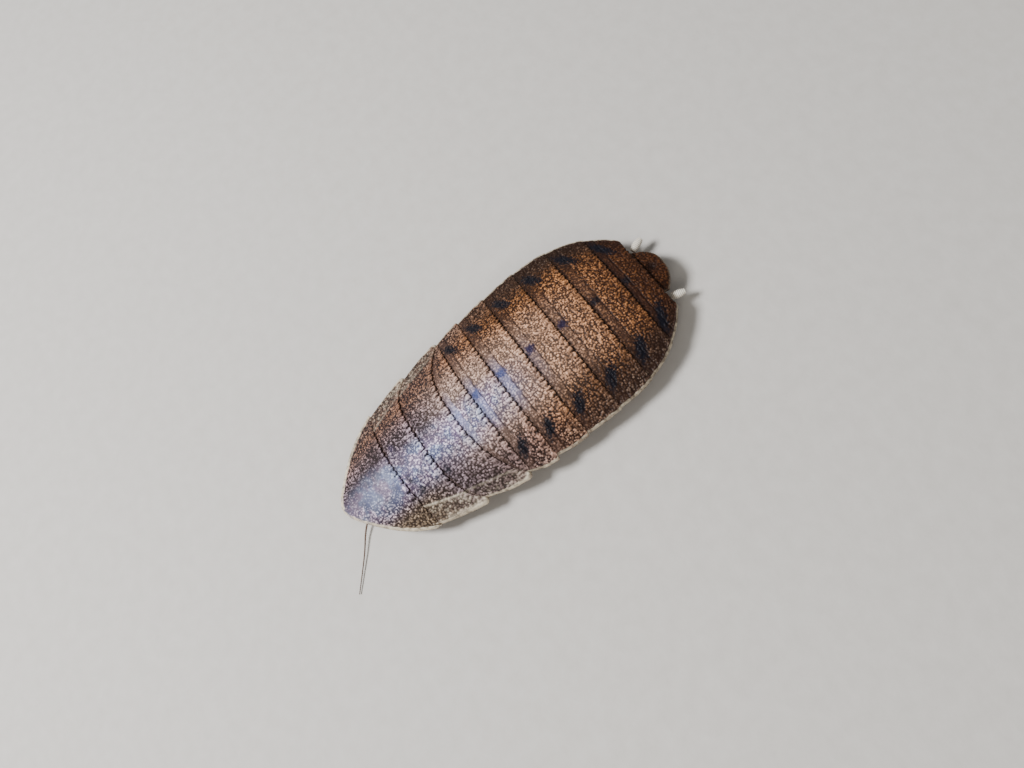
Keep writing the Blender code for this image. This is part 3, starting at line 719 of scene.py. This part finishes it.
# The spots are violet on the midline and black at the sides; rims, ridges and lobes are flecked with bone.
spot_colour = blend(along_body(lengthwise, 13.5, 17.5), (0.075, 0.09, 0.21), (0.028, 0.019, 0.048))
spot_colour = blend(along_body(lengthwise, 8.0, 11.0), (0.034, 0.024, 0.056), spot_colour)
spot_colour = blend(along_body(lengthwise, 18.0, 23.0), spot_colour, (0.01, 0.007, 0.009))
spot_colour = blend(away_from(sideways, -0.2, 0.7, 1.6), spot_colour, (0.005, 0.005, 0.009))
bone = blend(patches, (0.44, 0.33, 0.22), (0.92, 0.82, 0.62))
bone_on_lobe = lobe * smooth_range(patches + 0.5 * tone, 0.66, 0.92) * (0.35 + grain)
flecks = smooth_range(noise(places, 2600.0, 3.0, 0.6), 0.38, 0.55)
micro = noise(places, 9000.0, 3.0, 0.6)
connect(
    shader,
    Base_Color=coated(
        # Painted shade between the grains and painted highlight on their tops.
        blend(grain_tone_and_painted_light, shell_in_painted_shade, light_shell),
        (band * (0.45 + 0.3 * tail_end), band_colour),
        # Painted rosy light along the middle of the abdomen.
        (painted_midline_glow * 0.62 * (0.18 + 1.35 * grain_tone_and_painted_light), (0.86, 0.58, 0.42)),
        # Painted sky reflection on the shield and the thorax plates.
        (painted_sheen * 0.85, painted_sheen_colour),
        # Painted sky reflection on the front bands.
        (painted_band_sheen * (0.10 + 0.6 * cloud + 0.4 * grain), (0.34, 0.38, 0.64)),
        # Painted shade on both sides.
        (painted_side_shade, (0.018, 0.009, 0.006)),
        # Painted shade on the right edge.
        (painted_far_edge_shade * 0.45, (0.018, 0.008, 0.004)),
        (spot * (1.0 - 0.15 * grain_tone_and_painted_light), spot_colour),
        (shade * (0.25 + 0.5 * warm), (0.014, 0.007, 0.006)),
        # Painted shade in the grooves, the crease lines and the tail plate's dent.
        (groove * 0.9, (0.012, 0.006, 0.005)),
        (lobe * 0.15 * (0.35 + grain), (0.34, 0.255, 0.18)),
        (bone_on_lobe * 0.4, bone),
        (pale * (0.25 + 0.30 * tone + 0.50 * flecks), bone),
        (under, blend(patches, (0.07, 0.032, 0.018), (0.15, 0.075, 0.045))),
    ),
    Roughness=(0.50 - 0.16 * painted_sheen - 0.04 * warm + 0.14 * tail_end + 0.16 * (micro - 0.5)).clamped(),
    Specular_IOR_Level=0.15,
    Normal=bump(micro, 0.012 * MM, 0.6),
)
for index, plate in enumerate(PLATES):
    add_piece("plate_" + plate.name, build_plate(index), plate_material, plate.slot, plate.name)

# Tail plate, the last plate of the back.
# A short rounded tongue of the same grained shell, which comes out from under the seventh abdomen plate. It
# has a dent in the middle of its base, where the sheet is drawn down.
TAIL_HALF_WIDTH = 1.95 * MM
TAIL_BASE = 26.88 * MM - TUCK
TAIL_ROUNDING = 0.95 * MM
TAIL_CROWN = 2.34 * MM
TAIL_THICKNESS = 0.24 * MM
DENT_BACK = 27.1 * MM


def place_tail(across, along, level):
    """The tail plate's points: it falls to its tip and sides, and its base dips under the plate before."""
    side = across * TAIL_HALF_WIDTH * (1.0 - 0.06 * along)
    tip = LENGTH - TAIL_ROUNDING * np.abs(across) ** 2.6
    back = TAIL_BASE + along * (tip - TAIL_BASE)
    height, tone = grains(side, back, GRAIN_PITCH, 61, GRAIN_STRETCH)
    rim_distance = np.minimum(TAIL_HALF_WIDTH - np.abs(side), tip - back)
    dent = np.exp(-((side / (0.36 * MM)) ** 2) - ((back - DENT_BACK) / (0.34 * MM)) ** 2)
    crown = TAIL_CROWN - 0.46 * MM * along - (0.26 + 0.20 * along) * MM * (side / TAIL_HALF_WIDTH) ** 2
    fall = 0.12 * MM * edge_curve(rim_distance, 0.14 * MM)
    hidden = 0.3 * (TAIL_BASE + 0.42 * MM - back).clip(0.0, 1.0)
    top = crown + 0.8 * GRAIN_HEIGHT * height - 0.16 * MM * dent - fall - hidden
    marks = {
        "grain": height * (1.0 - dent),
        "tone": tone,
        # Painted shade in the dent.
        "groove": 0.9 * dent,
        "pale": 0.35 * (1.0 - step(rim_distance, 0.02 * MM, 0.14 * MM)) * level,
        "under": 1.0 - level,
    }
    return side, back, np.where(level > 0.5, top, crown - TAIL_THICKNESS - hidden), marks


tail_columns, tail_rows = int(2 * TAIL_HALF_WIDTH / GRID_STEP), int((LENGTH - TAIL_BASE) / GRID_STEP)
tail_data = slab_mesh("tail_plate", tail_columns, tail_rows, place_tail)
add_piece("tail_plate", tail_data, plate_material, "tail_plate", "supra_anal_plate")

# Cerci, the two short feelers of the tail.
# Each is an ivory peg of about ten ring-shaped joints, set with fine hairs in life, and it comes out between
# the corner of the seventh plate and the tail plate.
SIDES = (("left", 1), ("right", -1))
CERCUS_ROUTE = ((2.22, 26.8, 1.12), (2.41, 27.28, 1.18), (2.57, 27.84, 1.2))
CERCUS_JOINTS = 9
RIGHT_CERCUS_SHIFT = 0.2  # millimetres further back than the left one


def smooth_route(route, steps=24):
    """Closely spaced points on a smooth curve through the stops of a route."""
    stops = np.array(route, float) * MM
    stops = np.vstack([2 * stops[0] - stops[1], stops, 2 * stops[-1] - stops[-2]])
    share = np.linspace(0.0, 1.0, steps, endpoint=False)[:, None]
    runs = []
    for before, start, end, after in zip(stops, stops[1:], stops[2:], stops[3:]):
        bend = (end - before) * share + (2 * before - 5 * start + 4 * end - after) * share**2
        runs.append(start + 0.5 * (bend + (3 * start - before - 3 * end + after) * share**3))
    return np.vstack([*runs, stops[-2]])


def tube_mesh(name, route, half_wide, half_high, rings, sides, marks):
    """A closed tube along a route: a sphere whose rings are moved out along it and given their sizes.

    The sizes, in millimetres, and the marks are functions of the share of the route's length. The sizes are
    brought to nothing at both ends.
    """
    curve = smooth_route(route)
    lengths = np.concatenate([[0.0], np.cumsum(np.linalg.norm(np.diff(curve, axis=0), axis=1))])
    mesh = bmesh.new()
    bmesh.ops.create_uvsphere(mesh, u_segments=sides, v_segments=rings, radius=1.0)
    data = mesh_data(name, mesh)
    unit = read_points(data)
    share = np.arccos(np.clip(unit[:, 2], -1.0, 1.0)) / math.pi
    angle = np.arctan2(unit[:, 1], unit[:, 0])
    place, run = (
        np.stack([np.interp(share * lengths[-1], lengths, column) for column in table.T], axis=1)
        for table in (curve, np.gradient(curve, lengths, axis=0))
    )
    run /= np.linalg.norm(run, axis=1)[:, None]
    wide = np.cross(run, (0.0, 0.0, 1.0))
    wide /= np.maximum(np.linalg.norm(wide, axis=1), 1e-6)[:, None]
    high = np.cross(wide, run)
    close = np.sqrt(np.clip(1.0 - (2.0 * share - 1.0) ** (2 * max(4, rings // 5)), 0.0, 1.0))
    close = np.where(np.abs(unit[:, 2]) > 0.99999, 0.0, close)
    place = place + wide * (half_wide(share) * close * np.cos(angle))[:, None] * MM
    place = place + high * (half_high(share) * close * np.sin(angle))[:, None] * MM
    put_points(data, *place.T)
    put_marks(data, {mark: values(share) for mark, values in marks.items()})
    mesh = bmesh.new()
    mesh.from_mesh(data)
    bmesh.ops.recalc_face_normals(mesh, faces=mesh.faces)
    mesh.to_mesh(data)
    mesh.free()
    data.shade_smooth()
    return data


def seams(joints, power=8):
    """A function that is 1 at each seam between ring-shaped joints and falls to 0 between the seams."""
    return lambda share: np.abs(np.cos(math.pi * joints * share)) ** power


def ringed(share, joints, depth):
    """1 on the belly of each joint, and less by the depth at each seam between joints."""
    return 1.0 - depth * seams(joints, 6)(share)


def cercus_radius(share):
    """A peg that is thickest just past its middle, with its joints."""
    bulge = 1.0 - 0.45 * np.abs(share - 0.55) ** 1.5 * 2.0 - 0.25 * share
    return 0.34 * bulge * ringed(share, CERCUS_JOINTS, 0.16)


def mirror_route(route, sign):
    """The stops of a left route for a sign of 1, and of the right one for -1."""
    return [(sign * side, back, height) for side, back, height in route]


cercus_material, tree, shader, places = new_material("ivory_joints")
[seam] = measures(tree, "seam")
ivory = blend(noise(places, 1500.0, 3.0), (0.7, 0.62, 0.48), (0.92, 0.88, 0.78))
connect(
    shader,
    Base_Color=blend(seam * 0.55, ivory, (0.32, 0.22, 0.12)),
    Roughness=0.38,
    Normal=bump(noise(places, 6000.0, 3.0), 0.02 * MM, 0.5),
)
marks = {"seam": seams(CERCUS_JOINTS)}
for side_name, sign in SIDES:
    shift = RIGHT_CERCUS_SHIFT if sign < 0 else 0.0
    route = [(side, back + shift, height) for side, back, height in mirror_route(CERCUS_ROUTE, sign)]
    name = "cercus_" + side_name
    cercus_data = tube_mesh(name, route, cercus_radius, cercus_radius, 90, 24, marks)
    add_piece("tail_feeler_" + side_name, cercus_data, cercus_material, "cercus", name)

# Underside: chest and belly as one skin under the plates of the back.
# The belly has seven overlapping plates of thin, half-glossy brown shell; the chest between the hips is
# softer and folded, and a pale neck skin leads forward to the head.
CHEST_FRONT = 4.85 * MM
BELLY_REAR = 26.55 * MM
CHEST_PLATES = np.array((4.85, 6.55, 8.55, 10.75, 12.3)) * MM
BELLY_PLATES = np.array((12.3, 13.6, 15.6, 17.9, 20.2, 22.4, 24.3, 27.0)) * MM
BELLY_GRAIN_PITCH = 0.22 * MM
LAST_PLATE_BASE = 25.3 * MM
LAST_PLATE_TIP = 27.60 * MM
LAST_PLATE_HALF_WIDTH = 1.95 * MM
NECK_ROUTE = ((0.0, 3.9, 1.25), (0.0, 4.7, 1.45), (0.0, 6.1, 1.85))
NECK_FOLDS = 6


def under_back(back, side):
    """Height of the skin just under the plates of the back; it rises again beneath the tail."""
    return dome(back, side) - 0.64 * MM + 0.42 * MM * step(back, 25.6 * MM, 26.5 * MM)


def belly_height(back, side):
    """The smooth underside that the belly plates follow: flat on the floor and raised towards the sides."""
    sides = 0.95 * MM * step(np.abs(side), 1.9 * MM, 4.0 * MM)
    chest = 1.30 * MM - 0.2 * MM * step(back, 10.4 * MM, 11.2 * MM)
    front = chest * (1.0 - step(back, 12.2 * MM, 13.05 * MM))
    return np.maximum(sides + 0.4 * MM * step(back, 23.5 * MM, 26.6 * MM), front)


def share_of_plate(edges, back):
    """How far along its own plate each place lies, and how long that plate is."""
    number = np.clip(np.searchsorted(edges, back), 1, len(edges) - 1)
    length = edges[number] - edges[number - 1]
    return np.clip((back - edges[number - 1]) / length, 0.0, 1.0), length


def place_underside(across, along, level):
    """The points of the chest and belly: overlapping plates behind, folds round small plates in front."""
    front = CHEST_FRONT + 0.45 * MM * np.abs(across) ** 2.5 * (1.0 - along)
    back = front + along * (BELLY_REAR - front)
    side = across * (0.80 + 0.04 * step(back, 9.5 * MM, 12.0 * MM)) * half_width(back)
    curved = back + 0.30 * MM * (np.abs(across) ** 2) - 0.15 * MM
    share, length = share_of_plate(BELLY_PLATES, curved)
    belly = step(curved, BELLY_PLATES[0], BELLY_PLATES[0] + 0.3 * MM)
    overlap = 0.11 * MM * (1.0 - share) ** 1.5 * belly
    edge = hump((1.0 - share) * length, 0.10 * MM) * belly
    arch = np.sin(math.pi * share_of_plate(CHEST_PLATES, back)[0])
    keel = hump(side, 0.42 * MM) * np.sqrt(arch)
    plate = step(arch, 0.3, 0.55) * (1.0 - step(np.abs(across), 0.8, 0.95))
    chest = 1.0 - belly
    wrinkle = side / (0.16 * MM) + 0.4 * waves(side, back, 0.9 * MM, 5)
    folds = np.abs(np.sin(math.pi * wrinkle)) * (1.0 - plate)
    fine, tone = grains(side, back, BELLY_GRAIN_PITCH, 91)
    low = belly_height(back, side) + overlap + 0.015 * MM * (1.0 - fine) + 0.03 * MM * edge
    low = low + chest * (0.12 * MM * (1.0 - plate) + 0.03 * MM * folds - 0.14 * MM * keel)
    low = low + 0.55 * MM * edge_curve(back - front, 0.9 * MM)
    rim_distance = (1.0 - np.abs(across)) * half_width(back)
    round_up = 0.25 * MM * edge_curve(rim_distance, 0.3 * MM)
    high = under_back(back, side) - round_up * 0.4
    spiracle = hump(np.abs(side) - 0.66 * half_width(back), 0.16 * MM)
    marks = {
        "seam": 0.6 * edge,
        "soft": chest * (1.0 - 0.85 * np.maximum(plate, keel)),
        "tone": tone * fine,
        "spot": spiracle * hump((share - 0.3) * length, 0.2 * MM) * belly,
        "flank": step(np.abs(across), 0.55, 0.95),
    }
    return side, back, np.where(level > 0.5, high, np.minimum(low + round_up, high - 0.05 * MM)), marks


def place_last_plate(across, along, level):
    """The points of the last belly plate, a rounded tongue that closes the body under the tail plate."""
    side = across * LAST_PLATE_HALF_WIDTH * (1.0 - 0.10 * along)
    tip = LAST_PLATE_TIP - 0.95 * MM * np.abs(across) ** 2.4
    back = LAST_PLATE_BASE + along * (tip - LAST_PLATE_BASE)
    low = (0.42 + 0.30 * along**2 + 0.42 * across**6 + 0.26 * along**8) * MM
    high = (1.70 - 0.16 * along - 0.22 * along**8 - 0.26 * across**2) * MM
    marks = {
        "seam": step(along, 0.93, 1.0),
        "tone": grains(side, back, BELLY_GRAIN_PITCH, 97)[1],
        "flank": np.abs(across) ** 4,
    }
    return side, back, np.where(level > 0.5, high, low), marks


def joined(name, parts):
    """One mesh from several; a mark that a part doesn't have is 0 there."""
    mesh = bmesh.new()
    for part in parts:
        mesh.from_mesh(part)
        bpy.data.meshes.remove(part)
    data = mesh_data(name, mesh)
    data.shade_smooth()
    return data


def neck_width(share):
    """Half the width of the neck skin, with its folds."""
    return 0.55 * ringed(share, NECK_FOLDS, 0.1)


def neck_height(share):
    """Half the height of the neck skin, with its folds."""
    return 0.34 * ringed(share, NECK_FOLDS, 0.1)


belly_material, tree, shader, places = new_material("belly_shell")
seam, soft, tone, spot, flank = measures(tree, "seam soft tone spot flank")
cloud = noise(places, 500.0, 4.0, 0.6)
connect(
    shader,
    Base_Color=coated(
        blend(cloud, (0.085, 0.03, 0.014), (0.19, 0.08, 0.036)),
        (flank * 0.6, (0.045, 0.018, 0.012)),
        (tone * 0.25, (0.3, 0.15, 0.07)),
        (soft * 0.75, blend(cloud, (0.24, 0.14, 0.08), (0.46, 0.32, 0.2))),
        (seam * 0.7, (0.3, 0.16, 0.08)),
        (spot * 0.9, (0.012, 0.007, 0.006)),
    ),
    Roughness=(0.34 + 0.25 * soft + 0.15 * (cloud - 0.5)).clamped(),
    Normal=bump(noise(places, 5000.0, 4.0, 0.6), 0.02 * MM, 0.5),
)
underside_parts = [
    slab_mesh("chest_and_belly", 112, 390, place_underside),
    slab_mesh("last_belly_plate", 44, 36, place_last_plate),
    tube_mesh("neck_skin", NECK_ROUTE, neck_width, neck_height, 60, 32, {"soft": np.ones_like}),
]
underside_data = joined("underside", underside_parts)
add_piece("underside", underside_data, belly_material, "underside", "thorax", "abdomen")


# Head, folded under the neck shield with its face down and its mouth to the rear.
# A smooth dark capsule with a groove above the lip, a face shield, an upper lip, a pair of jaws, two pale
# simple eyes and the rings in which the feelers turn.
def move_to(mesh, place):
    """Moves a small shape from the origin to its place on the body."""
    side, back, height = (value * MM for value in place)
    middle = (side - float(sway(np.array(back))), back - LENGTH / 2, height)
    bmesh.ops.translate(mesh, vec=middle, verts=mesh.verts)


def ball_mesh(name, centre, radii, turn=0.0, segments=48, shape=None, pale=0.0):
    """A ball with the given half sizes in millimetres, turned about the vertical and put in place."""
    mesh = bmesh.new()
    bmesh.ops.create_uvsphere(mesh, u_segments=segments, v_segments=segments // 2, radius=1.0)
    if shape:
        for vert in mesh.verts:
            vert.co = shape(vert.co)
    bmesh.ops.scale(mesh, vec=Vector(radii) * MM, verts=mesh.verts)
    bmesh.ops.rotate(mesh, cent=(0, 0, 0), matrix=Matrix.Rotation(turn, 3, "Z"), verts=mesh.verts)
    move_to(mesh, centre)
    data = mesh_data(name, mesh)
    if pale:
        put_marks(data, {"pale": np.full(len(data.vertices), pale)})
    data.shade_smooth()
    return data


def capsule_shape(place):
    """An egg that is narrower at the mouth, flat on the face, with a groove across above the lip."""
    towards_mouth = place.y
    narrow = 1.0 - 0.30 * max(0.0, towards_mouth) ** 2
    face = 1.0 if place.z > 0 else 0.86 + 0.14 * place.x**2
    groove = 0.07 * math.exp(-(((towards_mouth - 0.52) / 0.05) ** 2)) if place.z < 0 else 0.0
    seam = 0.05 * math.exp(-((place.x / 0.04) ** 2)) if towards_mouth < -0.1 else 0.0
    return Vector((place.x * narrow, towards_mouth, place.z * face * (1.0 - groove - seam)))


def jaw_shape(place):
    """A jaw: thick at its root and drawn to a blunt tooth at its rear end."""
    taper = 1.0 - 0.45 * max(0.0, place.y) ** 1.5
    return Vector((place.x * taper, place.y, place.z * taper))


head_material, tree, shader, places = new_material("head_shell")
[pale] = measures(tree, "pale")
cloud = noise(places, 600.0, 4.0, 0.6)
mouth = along_body(coordinate(places, "Y"), 3.6, 4.2)
connect(
    shader,
    Base_Color=coated(
        blend(cloud, (0.022, 0.01, 0.008), (0.09, 0.036, 0.018)),
        (mouth * 0.6, (0.2, 0.085, 0.036)),
        (pale, (0.62, 0.47, 0.3)),
    ),
    Roughness=(0.30 + 0.2 * (cloud - 0.5)).clamped(),
    Normal=bump(noise(places, 5000.0, 3.0), 0.015 * MM, 0.6),
)
head_parts = [
    ball_mesh("capsule", (0.0, 3.1, 1.05), (1.05, 1.35, 0.6), 0.0, 96, capsule_shape),
    ball_mesh("face_shield", (0.0, 3.7, 0.68), (0.56, 0.36, 0.24), pale=0.06),
    ball_mesh("upper_lip", (0.0, 4.2, 0.6), (0.38, 0.26, 0.18), pale=0.2),
]
for _, sign in SIDES:
    jaw_place = (sign * 0.5, 4.08, 0.7)
    head_parts.append(ball_mesh("jaw", jaw_place, (0.3, 0.4, 0.26), -0.35 * sign, 40, jaw_shape))
    head_parts.append(ball_mesh("socket", (sign * 0.62, 1.92, 0.9), (0.24, 0.24, 0.2), pale=0.25))
    head_parts.append(ball_mesh("eye_spot", (sign * 0.44, 2.24, 0.6), (0.13, 0.15, 0.07), pale=0.9))
    head_parts.append(ball_mesh("palp_base", (sign * 0.86, 4.02, 0.66), (0.26, 0.3, 0.2), sign * 0.5))
add_piece("head_capsule", joined("head_capsule", head_parts), head_material, "head", "head")

# Eyes, one at each side of the head.
# Kidney-shaped domes of small black facets, set into the capsule with the hollow of the kidney inwards.
EYE_PLACE = (1.2, 2.7, 1.02)
EYE_HALF_SIZES = (0.42, 0.5, 0.36)

eye_material, tree, shader, places = new_material("eye_facets")
facets = add_node(tree, "ShaderNodeTexVoronoi", {"feature": "F1"}, {"Vector": places, "Scale": 16000.0})
connect(
    shader,
    Base_Color=blend(facets, (0.03, 0.018, 0.016), (0.006, 0.005, 0.006)),
    Roughness=0.16,
    Normal=bump(1.0 - facets, 0.012 * MM, 0.7),
)


def eye_shape(place):
    """A kidney shape, hollowed at its inner side."""
    hollow = 0.22 * math.exp(-((place.y / 0.35) ** 2)) if place.x < 0 else 0.0
    return Vector((place.x * (1.0 - hollow), place.y, place.z))


for side_name, sign in SIDES:
    [place] = mirror_route([EYE_PLACE], sign)
    turn = 0.0 if sign > 0 else math.pi
    eye_data = ball_mesh("eye_" + side_name, place, EYE_HALF_SIZES, turn, 72, eye_shape)
    add_piece("eye_dome_" + side_name, eye_data, eye_material, "eye", "eye_" + side_name)

# Feelers and mouth palps.
# The feelers are thin threads of many short ring joints on a thick first joint; the left one is stretched
# out to the front and side, and the right one is folded back under the shield. The palps have four joints.
FEELER_ROUTES = {
    "left": ((0.62, 1.86, 0.86), (1.45, 0.62, 0.44), (3.05, -0.66, 0.22), (5.08, -2.42, 0.12)),
    "right": (
        (-0.62, 1.86, 0.86),
        (-1.6, 1.02, 0.42),
        (-2.95, 1.95, 0.4),
        (-3.95, 3.1, 0.4),
        (-4.55, 4.3, 0.4),
        (-4.85, 5.7, 0.4),
    ),
}
FEELER_JOINTS = 46
PALP_ROUTE = ((0.9, 4.08, 0.64), (1.45, 4.05, 0.42), (1.78, 3.6, 0.3), (1.8, 3.1, 0.28))
PALP_JOINTS = 4


def feeler_radius(share):
    """A thick first joint and a thread that tapers to its tip."""
    thread = 0.078 - 0.042 * share
    base = 0.18 * np.exp(-(((share - 0.045) / 0.05) ** 4))
    return np.maximum(thread, base) * ringed(share, FEELER_JOINTS, 0.22)


def palp_radius(share):
    """Four club-shaped joints that grow a little towards the tip."""
    joints = 0.5 - 0.5 * np.cos(2 * math.pi * (share * PALP_JOINTS - 0.1))
    return 0.13 + 0.035 * joints + 0.03 * share


feeler_material, tree, shader, places = new_material("feeler_joints")
seam, tip = measures(tree, "seam tip")
connect(
    shader,
    Base_Color=coated(
        blend(noise(places, 1500.0, 3.0), (0.055, 0.026, 0.014), (0.15, 0.075, 0.04)),
        (tip * 0.5, (0.03, 0.018, 0.014)),
        (seam * 0.45, (0.24, 0.15, 0.08)),
    ),
    Roughness=0.42,
    Normal=bump(noise(places, 7000.0, 2.0), 0.01 * MM, 0.6),
)
feeler_marks = {"seam": seams(FEELER_JOINTS), "tip": lambda share: share}
palp_marks = {"seam": seams(PALP_JOINTS, 16), "tip": np.zeros_like}
for side_name, sign in SIDES:
    name, route = "feeler_" + side_name, FEELER_ROUTES[side_name]
    feeler_data = tube_mesh(name, route, feeler_radius, feeler_radius, 460, 14, feeler_marks)
    add_piece(name, feeler_data, feeler_material, "feeler", "antenna_" + side_name)
    route = mirror_route(PALP_ROUTE, sign)
    palp_data = tube_mesh("palp", route, palp_radius, palp_radius, 80, 18, palp_marks)
    add_piece("mouth_palp_" + side_name, palp_data, feeler_material, "feeler", "palp_" + side_name)

# Legs, six of them, folded flat under the body.
# Each has a broad flat hip plate and thigh, then a spiny shin and a foot of five short joints with two
# claws, all of chestnut-brown shell that is darker at the joints.
LEG_JOINTS = {  # hip, trochanter, knee, heel and toe of the left legs
    "front": ((2.6, 5.2, 0.8), (0.85, 6.1, 0.72), (3.55, 4.7, 0.55), (2.75, 2.85, 0.4), (2.05, 1.95, 0.2)),
    "middle": ((3.0, 6.9, 0.8), (0.85, 7.9, 0.72), (4.45, 7.5, 0.55), (4.85, 9.2, 0.36), (4.9, 10.9, 0.2)),
    "hind": ((3.3, 8.9, 0.8), (0.9, 9.9, 0.72), (4.2, 11.1, 0.53), (5.0, 14.9, 0.33), (4.65, 17.4, 0.2)),
}
SHIN_SPINES = {"front": (5, 1.0), "middle": (8, 0.55), "hind": (11, 1.0)}  # their number and relative length
TOP_ROW = 0.35
SPINE_ROWS = (-1.0, 1.0, TOP_ROW)  # how far outwards: a row at each side of the shin, and one on top
FOOT_JOINTS = ((-0.05, 0.37), (0.24, 0.19), (0.385, 0.19), (0.53, 0.19), (0.675, 0.37))  # start and length
UP = Vector((0, 0, 1))


def between(start, end, share, sag=(0.0, 0.0, 0.0)):
    """A place at a share of the way between two others, moved by the sag."""
    return [(1.0 - share) * a + share * b + c for a, b, c in zip(start, end, sag)]


def spine_mesh(place, direction, length, radius):
    """A stiff spine: a cone with its base at a place, its sizes in millimetres."""
    mesh = bmesh.new()
    thick, thin, depth = radius * MM, 0.1 * radius * MM, length * MM
    bmesh.ops.create_cone(mesh, cap_ends=True, segments=8, radius1=thick, radius2=thin, depth=depth)
    bmesh.ops.translate(mesh, vec=(0.0, 0.0, length * MM / 2), verts=mesh.verts)
    turn = UP.rotation_difference(Vector(direction).normalized()).to_matrix()
    bmesh.ops.rotate(mesh, cent=(0, 0, 0), matrix=turn, verts=mesh.verts)
    move_to(mesh, place)
    return mesh_data("spine", mesh)


def taper(start, change):
    """A half size that changes evenly along a part."""
    return lambda share: start + change * share


def hip_width(share):
    """Half the width of a hip plate: round at its root and narrow at its end."""
    return (0.74 - 0.36 * share**1.5) * (0.35 + 0.65 * np.sqrt(np.minimum(share / 0.22, 1.0)))


def thigh_width(share):
    """Half the width of a thigh, broadest before its middle."""
    return 0.24 + 0.20 * np.sin(math.pi * share**0.7) ** 0.8


def thigh_height(share):
    """Half the height of a thigh."""
    return 0.17 + 0.09 * np.sin(math.pi * share**0.7)


def leg_part(name, start, end, sag, half_wide, half_high, rings, sides):
    """One tube of a leg, dark at both ends."""
    marks = {"ends": lambda share: np.abs(2.0 * share - 1.0) ** 6}
    route = (start, between(start, end, 0.5, sag), end)
    return tube_mesh(name, route, half_wide, half_high, rings, sides, marks)


def build_thigh(name, hip, trochanter, knee, sign):
    """Hip plate, the ball of the joint and the thigh with its four short spines."""
    parts = [
        leg_part("coxa", hip, trochanter, (0, 0.1, 0.03), hip_width, taper(0.22, -0.04), 48, 28),
        ball_mesh("trochanter", trochanter, (0.3, 0.3, 0.21), 0.0, 24),
        leg_part("femur", trochanter, knee, (0, -0.08, -0.02), thigh_width, thigh_height, 64, 28),
    ]
    for number in range(4):
        place = between(trochanter, knee, 0.35 + 0.15 * number, (0.0, 0.3, -0.1))
        parts.append(spine_mesh(place, (0.3 * sign, 0.8, -0.35), 0.26, 0.045))
    return joined(name, parts)


def build_shin(name, knee, heel, toe, sign, spines, spine_size, draw):
    """Shin with its rows of long spines, the five joints of the foot and the two claws."""
    sag = (0.08 * sign, 0, 0.02)
    parts = [leg_part("tibia", knee, heel, sag, taper(0.15, 0.08), taper(0.13, 0.05), 56, 20)]
    run = (Vector(heel) - Vector(knee)).normalized()
    outward = run.cross(UP).normalized()
    for number in range(spines):
        row = SPINE_ROWS[number % 3]
        place = Vector(between(knee, heel, 0.18 + 0.80 * number / (spines - 1))) + outward * row * 0.12
        upward = Vector((0, 0, 0.7 if row == TOP_ROW else draw.uniform(0.0, 0.35)))
        direction = outward * row + run * draw.uniform(0.7, 1.0) + upward
        parts.append(spine_mesh(place, direction, draw.uniform(0.45, 0.62) * spine_size, 0.055))
    foot = Vector(toe) - Vector(heel)
    for start_share, length in FOOT_JOINTS:
        start = Vector(heel) + foot * start_share
        end = start + foot * length
        wide, high = taper(0.085, 0.045), taper(0.08, 0.035)
        parts.append(leg_part("tarsus_joint", start, end, (0.0, 0.0, 0.0), wide, high, 20, 14))
    onward = foot.normalized()
    for claw_side in (-1, 1):
        claw_run = onward + onward.cross(UP) * claw_side * 0.7 + Vector((0, 0, -0.25))
        parts.append(spine_mesh(Vector(toe) + onward * 0.02, claw_run, 0.26, 0.045))
    return joined(name, parts)


leg_material, tree, shader, places = new_material("leg_shell")
[ends] = measures(tree, "ends")
cloud = noise(places, 700.0, 4.0, 0.6)
chestnut = blend(cloud, (0.06, 0.022, 0.01), (0.23, 0.092, 0.036))
connect(
    shader,
    Base_Color=blend(ends * 0.6, chestnut, (0.035, 0.015, 0.01)),
    Roughness=(0.30 + 0.2 * (cloud - 0.5)).clamped(),
    Normal=bump(noise(places, 4500.0, 4.0, 0.6), 0.018 * MM, 0.6),
)
for leg_name, joints in LEG_JOINTS.items():
    for side_name, sign in SIDES:
        name = f"{leg_name}_{side_name}"
        hip, trochanter, knee, heel, toe = mirror_route(joints, sign)
        draw = random.Random(leg_name + side_name)
        thigh_data = build_thigh("thigh_" + name, hip, trochanter, knee, sign)
        add_piece("thigh_" + name, thigh_data, leg_material, "leg", "femur_" + name)
        shin_data = build_shin("shin_" + name, knee, heel, toe, sign, *SHIN_SPINES[leg_name], draw)
        add_piece("shin_" + name, shin_data, leg_material, "leg", "tibia_" + name)
